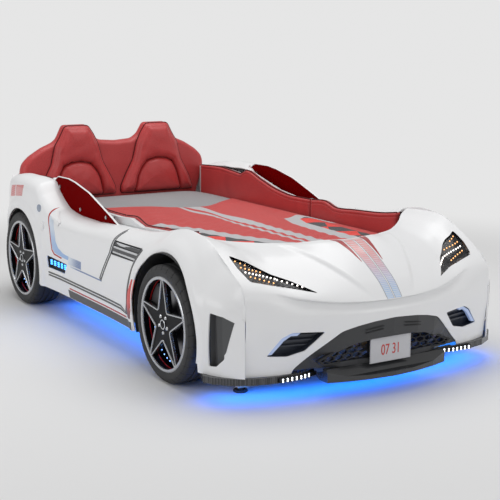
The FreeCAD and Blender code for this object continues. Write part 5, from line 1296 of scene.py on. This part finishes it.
def mattress():
    """A rounded block: rings run from the underside round the edge to the top, on a square with soft corners
    that is the twelfth-power superellipse, and each edge is a quarter circle."""
    radius, middle = 22.0, (0.5 * (BED_HEAD + BED_FOOT), 0)
    half = np.array([0.5 * (BED_FOOT - BED_HEAD), BED_HALF])
    arc = np.linspace(0, 0.5 * np.pi, 6)
    levels = [(radius * (1 - math.sin(a)), MATTRESS_BOTTOM + radius * (1 - math.cos(a))) for a in arc]
    levels += [(radius * (1 - math.cos(a)), BED_TOP - radius * (1 - math.sin(a))) for a in arc]
    turn = np.linspace(0, 2 * np.pi, 240, endpoint=False)
    direction = np.stack([np.cos(turn), np.sin(turn)], -1)
    rim = direction * (np.abs(direction) ** 12).sum(1, keepdims=True) ** (-1 / 12)
    rings = [np.insert(rim * (half - pull) + middle, 2, z, axis=1) for pull, z in levels]
    for share in (0.97, 0.9, 0.75, 0.5, 0.25, 0.03):
        flat = rim * (half - radius) * share + middle
        quilt = 0.25 * np.sin(flat[:, 0] / 45.0) * np.sin(flat[:, 1] / 45.0) * (share < 0.9)
        rings.append(np.insert(flat, 2, BED_TOP - 0.3 + quilt, axis=1))
    return closed_rings(np.stack(rings))


cover = make("mattress_cover", mattress(), GREY_SHEET, "mattress_cover", crease=180, replaces=["mattress"])

# ------------------------------------------------------------------ bedspread
# A printed cotton spread, laid over the mattress from a third of the way down and tucked under the hood. The
# print is a generic one: two light stripes and bands with blocks of grey and bright red.
SPREAD_HALF, SPREAD_RISE, FOOT_TUCK = 438.0, 435.6, 21.0
SPREAD_FOLD = [
    (-438, 383), (-281, 389), (-202, 398), (-59, 443), (83, 563), (173, 578), (340, 473), (438, 404),
]
LIGHT_STRIPES = [(42.0, 62.0), (84.0, 136.0)]
BAND_HALF = 34.0
NEAR_BAND = [(-90, -330), (-80, -270), (20, -215), (200, -160), (330, -122), (480, -62), (700, 24)]
FAR_BAND = [(210, 455), (70, 452), (15, 395), (50, 325), (170, 285), (420, 268), (800, 262)]


def capsule_group():
    """Distance from (x, y) to a straight stretch: to the perpendicular's foot, kept within its ends."""
    group, given, put = new_group("stretch_distance", {
        "X": 0.0, "Y": 0.0, "Start X": 0.0, "Start Y": 0.0, "Run X": 1.0, "Run Y": 0.0}, ("Distance",))
    read = given.outputs
    apart = [calculate(group, "SUBTRACT", read[a], read["Start " + a]) for a in "XY"]
    run = [read["Run " + a] for a in "XY"]
    dot, square = (calculate(group, "MULTIPLY_ADD", a[0], run[0], calculate(group, "MULTIPLY", a[1], run[1]))
                   for a in (apart, run))
    foot = calculate(group, "DIVIDE", dot, square)
    foot = calculate(group, "MINIMUM", calculate(group, "MAXIMUM", foot, 0.0), 1.0)
    left = [calculate(group, "SUBTRACT", d, calculate(group, "MULTIPLY", foot, r))
            for d, r in zip(apart, run)]
    squares = calculate(group, "ADD", *[calculate(group, "MULTIPLY", d, d) for d in left])
    return handed_out(group, put, calculate(group, "SQRT", squares))


def stepped(tree, value, low, high):
    """A mask that runs from nought to one between two values of a socket."""
    node = tree.nodes.new("ShaderNodeMapRange")
    node.inputs["From Min"].default_value = low
    node.inputs["From Max"].default_value = high
    tree.links.new(value, node.inputs["Value"])
    return node.outputs["Result"]


def spread_print():
    """The print as layers over a red weave, in metres on Object coordinates: two bands of light grey, each
    with a kerb of grey and bright red blocks beside it, and light stripes along the middle."""
    material = grouped_material("printed_spread", WEAVE, {
        "Colour": (0.64, 0.066, 0.060, 1), "Dark": (0.48, 0.044, 0.042, 1), "Thread Scale": 3600.0},
        0.40, 0.0007,
        Sheen_Weight=0.2, Sheen_Roughness=0.6, Specular_IOR_Level=0.12)
    tree = material.node_tree
    where = next(node for node in tree.nodes if node.type == "TEX_COORD").outputs["Object"]
    colour = next(node for node in tree.nodes if node.type == "GROUP").outputs["Colour"]
    parts = tree.nodes.new("ShaderNodeSeparateXYZ")
    tree.links.new(where, parts.inputs[0])
    light = blended(tree, noise(tree, where, 240.0, 4.0), (0.56, 0.56, 0.57), (0.46, 0.46, 0.48))
    capsule = capsule_group()
    edge, kerb_shift, kerb_half = 0.0012, 74, 0.040

    def nearest(line):
        """The least distance to the stretches of a line."""
        best = None
        for (ax, ay), (bx, by) in zip(line[:-1], line[1:]):
            node = tree.nodes.new("ShaderNodeGroup")
            node.node_tree = capsule
            for axis, label in enumerate("XY"):
                tree.links.new(parts.outputs[axis], node.inputs[label])
            for label, value in (("Start X", ax), ("Start Y", ay), ("Run X", bx - ax), ("Run Y", by - ay)):
                node.inputs[label].default_value = value * MM
            best = node.outputs[0] if best is None else calculate(tree, "MINIMUM", best, node.outputs[0])
        return best

    checks = tree.nodes.new("ShaderNodeTexChecker")
    checks.inputs["Scale"].default_value = 9.0
    lean = tree.nodes.new("ShaderNodeMapping")
    lean.inputs["Rotation"].default_value = (0, 0, 0.5)
    tree.links.new(where, lean.inputs["Vector"])
    tree.links.new(lean.outputs["Vector"], checks.inputs["Vector"])
    blocks = blended(tree, checks.outputs["Fac"], (0.055, 0.058, 0.062), (0.80, 0.045, 0.032))
    for line, kerb in ((NEAR_BAND, [(x, y - kerb_shift) for x, y in NEAR_BAND[2:]]),
                       (FAR_BAND, [(x, y + kerb_shift) for x, y in FAR_BAND[3:]])):
        colour = blended(tree, calculate(tree, "LESS_THAN", nearest(kerb), kerb_half), colour, blocks)
        band = stepped(tree, nearest(line), BAND_HALF * MM + edge, BAND_HALF * MM - edge)
        colour = blended(tree, band, colour, light)
    for low, high in LIGHT_STRIPES:
        start, end = (stepped(tree, parts.outputs[1], at * MM - way * edge, at * MM + way * edge)
                      for at, way in ((low, 1), (high, -1)))
        colour = blended(tree, calculate(tree, "MULTIPLY", start, end), colour, light)
    tree.links.new(colour, tree.nodes["Principled BSDF"].inputs["Base Color"])
    return material


def spread():
    """A thin sheet from the turned-back edge to the foot, with low wrinkles that die out at its edges."""
    y = np.linspace(-SPREAD_HALF, SPREAD_HALF, 150)[None, :]
    start = BED_HEAD + guide(SPREAD_FOLD, y)
    x = start + (BED_FOOT - FOOT_TUCK - start) * np.linspace(0, 1, 230)[:, None]
    y = np.broadcast_to(y, x.shape)
    flat = np.stack([x, y], -1)
    wrinkle = folds(flat, 130.0, 1.25, 3.6, 0.6) + folds(flat, 70.0, 0.5, 2.2, 2.4)
    wrinkle += 2.6 * np.sin(y / 31.0 + 1.6 * np.sin(x / 210.0)) * np.exp(-((x - start) / 160.0))
    edge = np.minimum(SPREAD_HALF - np.abs(y), x - start)
    height = SPREAD_RISE + 1.6 + np.clip(wrinkle + 3.4, 0.0, 10.0) * np.clip(edge / 40.0, 0, 1)
    return facing_slab(np.insert(flat, 2, height, axis=2), 2, 1.5, 0.0)


cover = make("printed_bedspread", spread(), spread_print(), "spread_fabric", crease=180,
             replaces=["bedspread"])

# ------------------------------------------------------------------ side windows
# Low windows of dark red acrylic sheet, screwed through studs to the side boards; a white plastic edging runs
# along the top, with a slim tip at the rear end.
WINDOW_Y, WINDOW_THICK = 520.0, 6.0
WINDOW_UPPER = [
    (-660, 560), (-645, 583), (-585, 614), (-465, 616), (-390, 608), (-242, 580), (-111, 538), (-16, 506),
    (66, 476),
]
WINDOW_LOWER = [(66, 457), (-500, 457), (-600, 520)]


def window_pane():
    """The outline pushed out to its thickness, with a small bevel at each face."""
    outline = evenly(softened(WINDOW_UPPER + WINDOW_LOWER, 10.0, 4), 9.0)
    bevel, inner, outer = 1.2, WINDOW_Y, WINDOW_Y + WINDOW_THICK
    section = [(bevel, inner), (0.0, inner + bevel), (0.0, outer - bevel), (bevel, outer)]
    return closed_rings(np.stack([np.insert(inset(outline, back), 1, at, axis=1) for back, at in section]))


RED_ACRYLIC = moulded("red_acrylic_sheet", (0.20, 0.0006, 0.001), (0.13, 0.0004, 0.0008), 0.30, 0.08,
                      300.0, 0.0, Transmission_Weight=0.06, IOR=1.15, Specular_IOR_Level=0.0)
make_pair("window_pane_%s", window_pane(), RED_ACRYLIC, "red_acrylic", "window_%s")


def window_edging():
    """A white bead that hugs the pane's upper edge."""
    line = evenly(softened(WINDOW_UPPER, 4.0, 3)[:-2], 9.0, closed=False)
    across = np.insert(sideways(line), 1, 0.0, axis=1)
    path = np.insert(line, 1, WINDOW_Y + 0.5 * WINDOW_THICK, axis=1)
    return swept(path + across, across, (0, 1, 0), round_profile(5.0, 9.0, 10))


def pillar_tip():
    """The white tip at the pane's rear end: a slim blade laid over its edge."""
    outline = softened([(-668, 548), (-650, 590), (-630, 606), (-612, 600), (-628, 560), (-640, 530)], 4.0, 4)
    return prism(outline, 1, WINDOW_Y - 3.0, WINDOW_Y + WINDOW_THICK + 4.0)


edgings = joined([window_edging(), pillar_tip()])
make("window_edgings", both_sides(edgings), WHITE_SHELL, "white_shell", crease=50)
STUD_PLACES = [(-560, 572), (-330, 497), (-60, 499)]
heads = [prism(disc_outline(place, 8.0, 24), 1, WINDOW_Y + WINDOW_THICK, WINDOW_Y + WINDOW_THICK + 3.4)
         for place in STUD_PLACES]
SCREW_STEEL = moulded("screw_steel", (0.60, 0.60, 0.61), (0.46, 0.46, 0.47), 0.24, 0.18, 900.0, 0.1,
                      Metallic=1.0)
make("window_screw_heads", both_sides(joined(heads)), SCREW_STEEL, "steel_fastener", crease=30)
dress(SCREW_STEEL, "window_studs", "frame_bolts")

# ------------------------------------------------------------------ hood stripes
# Two vinyl bands down the middle of the hood, printed with red dots that fade to pale blue at the nose, and a
# tapered red wing outside each.
def hood_strip(inner, outer, end, rise=0.45, steps=110, across=7):
    """A thin closed strip on the hood between two |y| guides of the place along the section. The section is
    read at fine places, and between two of them by their shares."""
    places = np.linspace(BAND_START, end, steps)
    low, high = guide(inner, places)[:, None], guide(outer, places)[:, None]
    y = low + (high - low) * np.linspace(0, 1, across)
    fine = np.linspace(0, 6, 481)
    line = front_line(y.ravel(), fine)
    each = np.repeat(places, across)
    at = np.searchsorted(fine, each).clip(1, 480)
    share = ((each - fine[at - 1]) / (fine[at] - fine[at - 1]))[:, None]
    n = np.arange(y.size)
    xz = (line[n, at - 1] * (1 - share) + line[n, at] * share).reshape(*y.shape, 2)
    return facing_slab(np.insert(xz, 1, y, axis=2), 2, 0.6, rise)


BAND_START, BAND_END, WING_END = 0.06, 2.98, 1.55
BAND_OUTER, BAND_INNER = [(0, 41), (1.5, 36), (3.1, 30)], [(0, 4.5), (3.1, 3.6)]
BAND_INK = print_vinyl("hood_band_ink", (0.70, 0.16, 0.15), (0.40, 0.56, 0.80), 0, 1010, 1190, 190.0, 0.65)
STRIPE_GREY = moulded("stripe_grey", (0.40, 0.41, 0.44), (0.34, 0.35, 0.38), 0.34)
WING_RED = moulded("wing_red", (0.42, 0.030, 0.032), (0.34, 0.022, 0.024), 0.34, Coat_Weight=0.3)
band = hood_strip(BAND_INNER, BAND_OUTER, BAND_END)
band_rims = [hood_strip(BAND_OUTER, [(0, 43.5), (1.5, 38.5), (3.1, 32.4)], BAND_END, 0.5),
             hood_strip([(0, 2.6), (3.1, 2.0)], BAND_INNER, BAND_END, 0.5, across=4)]
wing = hood_strip([(0, 47), (1.6, 45)], [(0, 82), (0.6, 66), (1.6, 46.2)], WING_END, steps=60)
make("hood_bands", both_sides(band), BAND_INK, "plate_white")
make("hood_band_edges", both_sides(joined(band_rims)), STRIPE_GREY, "grey_trim")
make("hood_wings", both_sides(wing), WING_RED, "red_acrylic")

# ------------------------------------------------------------------ headlamps
# Black housings let into the hood, rows of amber and white lamp chips on their floor, and a smoked lens that
# is nearly clear, flush with the white moulding.
LAMP_DEPTH = 16.0
LAMP_ROWS = [
    ((492, 480), (462, 466), 3, "amber"), ((487, 463), (415, 441), 6, "amber"),
    ((482, 450), (378, 420), 9, "white"), ((372, 417), (306, 396), 6, "white"),
    ((474, 437), (398, 412), 6, "amber"),
]


def nose_rings(outline, depth):
    """Rings of an outline drawn to its middle, laid behind the nose's face by one depth."""
    rim = evenly(outline, 5.0)
    middle = rim.mean(0)
    flat = middle + (rim - middle) * np.linspace(1.0, 0.02, 14)[:, None, None]
    return np.insert(flat, 0, front_face(flat[..., 0], flat[..., 1]) - depth, axis=2)


def nose_plate(outline, depth, thick):
    """A closed plate that follows the nose: rings on its face, then on its back, the middles closed."""
    face, back = nose_rings(outline, depth), nose_rings(outline, depth + thick)
    return closed_rings(np.concatenate([face[::-1], back]))


def lamp_bowl():
    """The housing: from the middle of its floor out to its wall, up to the face, back down the outside, and
    in again to the middle under the floor."""
    outline = inset(HEADLAMP, 0.8)
    rim = evenly(outline, 5.0)
    front = front_face(rim[:, 0], rim[:, 1])
    back = inset(rim, -1.6)
    walls = [np.insert(edge, 0, front - depth, axis=1)
             for edge, depth in ((rim, 1.2), (back, 4.5), (back, LAMP_DEPTH + 2.0))]
    floor, under = nose_rings(outline, LAMP_DEPTH), nose_rings(outline, LAMP_DEPTH + 2.0)
    return closed_rings(np.concatenate([floor[::-1], np.stack(walls), under]))


LAMP_BLACK = moulded("lamp_gloss_black", (0.008, 0.008, 0.009), (0.014, 0.014, 0.016), 0.18, 0.08, 400.0,
                     0.06)
SMOKED = moulded("smoked_lens", (0.20, 0.20, 0.21), (0.15, 0.15, 0.16), 0.03, 0.03, 300.0, 0.01,
                 Transmission_Weight=1.0, IOR=1.08, Alpha=0.14)
make("headlamp_bowls", both_sides(lamp_bowl()), LAMP_BLACK, "black_gloss", replaces=["headlamp_housings"])
make("headlamp_covers", both_sides(nose_plate(inset(HEADLAMP, 1.0), 0.0, 1.6)), SMOKED, "lamp_glass",
     replaces=["headlamp_lenses"])
CHIPS_OF = {"amber": (glowing("chip_amber", (1.0, 0.48, 0.18), 2.6), 2.6, ()),
            "white": (glowing("chip_white", (1.0, 0.94, 0.88), 3.4), 3.1, ["headlamp_leds"])}
for tint, (glow, radius, replaced) in CHIPS_OF.items():
    spots = np.concatenate([np.linspace(start, end, count)
                            for start, end, count, row in LAMP_ROWS if row == tint])
    spots = np.insert(spots, 0, front_face(spots[:, 0], spots[:, 1]) - LAMP_DEPTH + 3.0, axis=1)
    make("headlamp_chips_" + tint, both_sides(repeated(ball(radius), spots)), glow, "lamp_chip",
         replaces=replaced)

# ------------------------------------------------------------------ fog recesses
# Dark slatted inserts of moulded plastic beside the grille, pushed into the recesses, each with a light grey
# C-shaped blade that carries a cool glow.
FOG_GREY = moulded("fog_blade_grey", (0.42, 0.46, 0.54), (0.34, 0.38, 0.46), 0.32, 0.08, 420.0, 0.05,
                   Emission_Color=(0.30, 0.45, 0.85, 1), Emission_Strength=0.35)
FOG_DARK = moulded("fog_dark", (0.018, 0.022, 0.034), (0.030, 0.036, 0.050), 0.30, 0.12, 420.0, 0.1)
dress(FOG_DARK, "fog_grilles")
dress(FOG_GREY, "fog_blades")

# ------------------------------------------------------------------ grille, plate and lower lip
# The satin dark surround with two thin black lines a side, the stretched honeycomb behind, a plate with plain
# numbers, and the gloss dark lip under them, all moulded plastic screwed into the bumper.
GRILLE_DARK = moulded("grille_satin_dark", (0.032, 0.033, 0.035), (0.046, 0.047, 0.050), 0.38, 0.14, 420.0,
                      0.14)
MESH_BLACK = moulded("mesh_black", (0.020, 0.020, 0.022), (0.028, 0.028, 0.030), 0.40, 0.12, 420.0, 0.10,
                     Specular_IOR_Level=0.25)
LIP_GLOSS = moulded("lip_gloss_dark", (0.026, 0.027, 0.029), (0.036, 0.037, 0.040), 0.20, 0.10, 300.0, 0.06,
                    Coat_Weight=0.4)
LINE_BLACK = moulded("line_black", (0.004, 0.004, 0.005), (0.008, 0.008, 0.009), 0.5)
NUMBER_RED = moulded("number_red", (0.60, 0.055, 0.05), (0.52, 0.045, 0.04), 0.36)
PLATE_WHITE = moulded("plate_white", (0.62, 0.62, 0.64), (0.52, 0.52, 0.55), 0.40, 0.10, 90.0, 0.10)
dress(GRILLE_DARK, "grille_frame")
dress(MESH_BLACK, "grille_mesh")
dress(LIP_GLOSS, "diffuser_lip")
dress(PLATE_WHITE, "number_plate")


def engraved_line(z, start=46.0, end=122.0, width=3.2, fall=0.10):
    """A thin black strip on the surround, which falls a little on its way out from the middle."""
    y = np.linspace(start, end, 24)[:, None]
    y, z = np.broadcast_arrays(y, z - fall * (y - start) + np.array([0.0, width]))
    return facing_slab(np.stack([front_face(y, z) - 2.6, y, z], -1), 0, 0.8, 0.2)


line_pair = joined([engraved_line(240.0), engraved_line(251.0)])
make("grille_line_pairs", both_sides(line_pair), LINE_BLACK, "black_gloss")


def plate_numbers(text, height, middle, depth):
    """Plain raised numbers on the plate, made a mesh and turned to face the nose before they are placed."""
    data = bpy.data.curves.new("plate_numbers", "FONT")
    data.body = text
    data.size = height * MM
    data.extrude = 0.5 * depth * MM
    data.align_x, data.align_y = "CENTER", "CENTER"
    holder = placed("number_shapes", data)
    mesh = bpy.data.meshes.new_from_object(holder)
    bpy.data.objects.remove(holder)
    face = Matrix(((0, 0, 1), (1, 0, 0), (0, 1, 0))).to_4x4()
    narrow = Matrix.Diagonal((0.82, 1.18, 1.0, 1.0))
    mesh.transform(Matrix.Translation(Vector(middle) * MM) @ face @ narrow)
    mesh.materials.append(NUMBER_RED)
    numbers = placed("plate_numbers", mesh)
    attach(numbers, BODY)


plate_low, plate_high = (np.array(corner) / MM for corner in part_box("number_plate"))
plate_face, plate_middle_z = plate_high[0], 0.5 * (plate_low[2] + plate_high[2])
half_y, half_z = 0.5 * (plate_high - plate_low)[1:] - 1.0
plate_corners = [(y * half_y, plate_middle_z + z * half_z) for y, z in ((1, -1), (1, 1), (-1, 1), (-1, -1))]
plate_section = [(back, plate_face + rise)
                 for back, rise in ((0.0, -0.2), (0.0, 1.0), (2.0, 1.0), (2.0, -0.2))]
plate_numbers("07 31", 46.0, (plate_face + 0.4, 0.0, plate_middle_z - 3.0), 1.2)
plate_band = band_along(softened(plate_corners, 7.0, 5), plate_section, axis=0)
make("plate_rim", plate_band, PLATE_WHITE, "plate_white")

# ------------------------------------------------------------------ splitters and their lamps
# Blades of woven carbon-look laminate screwed under the bumper's corners; each carries two rows of bright
# white lamp chips.
def carbon_group():
    """Twill: two diagonal waves whose product gives squares that step, with a little noise in the gloss."""
    group, given, put = new_group("carbon_twill", {
        "Vector": None, "Colour": (0.03, 0.03, 0.03, 1), "Dark": (0.01, 0.01, 0.01, 1), "Tow Scale": 420.0})
    read = given.outputs
    parts = group.nodes.new("ShaderNodeSeparateXYZ")
    group.links.new(read["Vector"], parts.inputs[0])
    waves = []
    for way in ("ADD", "SUBTRACT"):
        diagonal = calculate(group, way, parts.outputs[0], parts.outputs[1])
        waves.append(calculate(group, "SINE", calculate(group, "MULTIPLY", diagonal, read["Tow Scale"])))
    product = calculate(group, "MULTIPLY", *waves)
    squares = blended(group, calculate(group, "GREATER_THAN", product, 0.0), read["Dark"], read["Colour"])
    gloss = calculate(group, "MULTIPLY_ADD", noise(group, read["Vector"], 90.0), 0.14, 0.22)
    return handed_out(group, put, squares, gloss, product)


CARBON = grouped_material("carbon_laminate", carbon_group(), {
    "Colour": (0.055, 0.055, 0.058, 1), "Dark": (0.010, 0.010, 0.011, 1), "Tow Scale": 420.0}, 0.12,
    Coat_Weight=0.5,
    Coat_Roughness=0.05)
dress(CARBON, "splitters")
dress(LAMP_BLACK, "splitter_lamps")
SPLITTER_EDGE = [(1098, 510), (1114, 430), (1112, 340), (1096, 268)]
CHIP_BRIGHT = glowing("chip_bright", (0.86, 0.93, 1.0), 3.0)
edge_line = evenly(SPLITTER_EDGE, 16.5, closed=False)
edge_line = edge_line[(edge_line[:, 1] < 418) & (edge_line[:, 1] > 292)] + (13.6, 0)
spots = np.concatenate([np.insert(edge_line, 2, z, axis=1) for z in (89.5, 97.0)])
make("splitter_chips", both_sides(repeated(ball(3.1), spots)), CHIP_BRIGHT, "lamp_chip")

# ------------------------------------------------------------------ underglow
# Blue light strips in milky plastic channels, clipped under the sills and behind the front lip. Small soft
# lamps beside them light the floor.
GLOW_CHANNEL = moulded("glow_channel", (0.10, 0.30, 0.80), (0.08, 0.26, 0.75), 0.5,
                       Emission_Color=(0.03, 0.26, 1.0, 1), Emission_Strength=6.0)
GLOW_TINT = (0.003, 0.17, 1.0)
GLOW_HEIGHT, GLOW_SIZE, SIDE_WATTS, NOSE_WATTS, SIDE_Y = 62.0, 0.12, 0.075, 0.12, 420.0
SIDE_GLOW, NOSE_GLOW, NOSE_GLOW_X, NOSE_GLOW_BEND = (-620, 400, 14), (-560, 560, 15), 1056.0, 0.00034
glow_places = [(x, side * SIDE_Y, SIDE_WATTS)
               for x in np.linspace(*SIDE_GLOW).tolist() for side in (1, -1)]
glow_places += [(NOSE_GLOW_X - NOSE_GLOW_BEND * y * y, y, NOSE_WATTS)
                for y in np.linspace(*NOSE_GLOW).tolist()]
dress(GLOW_CHANNEL, "underglow_strips")
for n, (x, y, watts) in enumerate(glow_places):
    name = "glow_lamp_%02d" % n
    target = (x * MM * 1.01, y * MM * 1.03, 0.0)
    soft_lamp(name, (x * MM, y * MM, GLOW_HEIGHT * MM), target, GLOW_SIZE, GLOW_SIZE, watts)
    bpy.data.objects[name].data.color = GLOW_TINT

# ------------------------------------------------------------------ wooden frame, base and feet
# Boards of melamine-faced chipboard with white faces, pine slats and ledgers, and rubber-footed levelling
# screws. The frame carries the mattress and all the mouldings.
BOARD_WHITE = moulded("board_white_laminate", (0.74, 0.745, 0.755), (0.70, 0.705, 0.715), 0.40, 0.12,
                      260.0, 0.10)


def wood_group():
    """Pine: rings as a stretched, bent wave along the board, broken by fine fibres."""
    group, given, put = new_group("pine_grain", {
        "Vector": None, "Colour": (0.6, 0.45, 0.3, 1), "Dark": (0.4, 0.25, 0.15, 1), "Grain Scale": 26.0})
    read = given.outputs
    stretch = group.nodes.new("ShaderNodeMapping")
    stretch.inputs["Scale"].default_value = (6.0, 0.5, 6.0)
    group.links.new(read["Vector"], stretch.inputs["Vector"])
    rings = noise(group, stretch.outputs["Vector"], read["Grain Scale"], 4.0, 1.6)
    fibres = noise(group, stretch.outputs["Vector"], 180.0, 3.0)
    shade = calculate(group, "MULTIPLY_ADD", fibres, 0.3, calculate(group, "MULTIPLY", rings, 0.8))
    gloss = calculate(group, "MULTIPLY_ADD", fibres, 0.2, 0.5)
    return handed_out(group, put, blended(group, shade, read["Colour"], read["Dark"]), gloss, fibres)


PINE = grouped_material("pine", wood_group(), {
    "Colour": (0.60, 0.43, 0.25, 1), "Dark": (0.40, 0.25, 0.13, 1), "Grain Scale": 9.0}, 0.15)
FOOT_RUBBER = moulded("foot_rubber", (0.022, 0.022, 0.024), (0.034, 0.034, 0.036), 0.6, 0.15, 500.0, 0.2)
BOX_PLASTIC = moulded("box_plastic", (0.060, 0.060, 0.064), (0.080, 0.080, 0.084), 0.44, 0.12, 500.0, 0.16)
dress(BOARD_WHITE, "side_board_left", "side_board_right", "head_panel", "foot_board")
dress(PINE, "centre_beam", "slat_ledgers", "bed_slats", "legs", "shell_battens")
dress(FOOT_RUBBER, "foot_rear_left", "foot_rear_right", "foot_front_left", "foot_front_right")
dress(BOX_PLASTIC, "control_box", "rocker_switch")
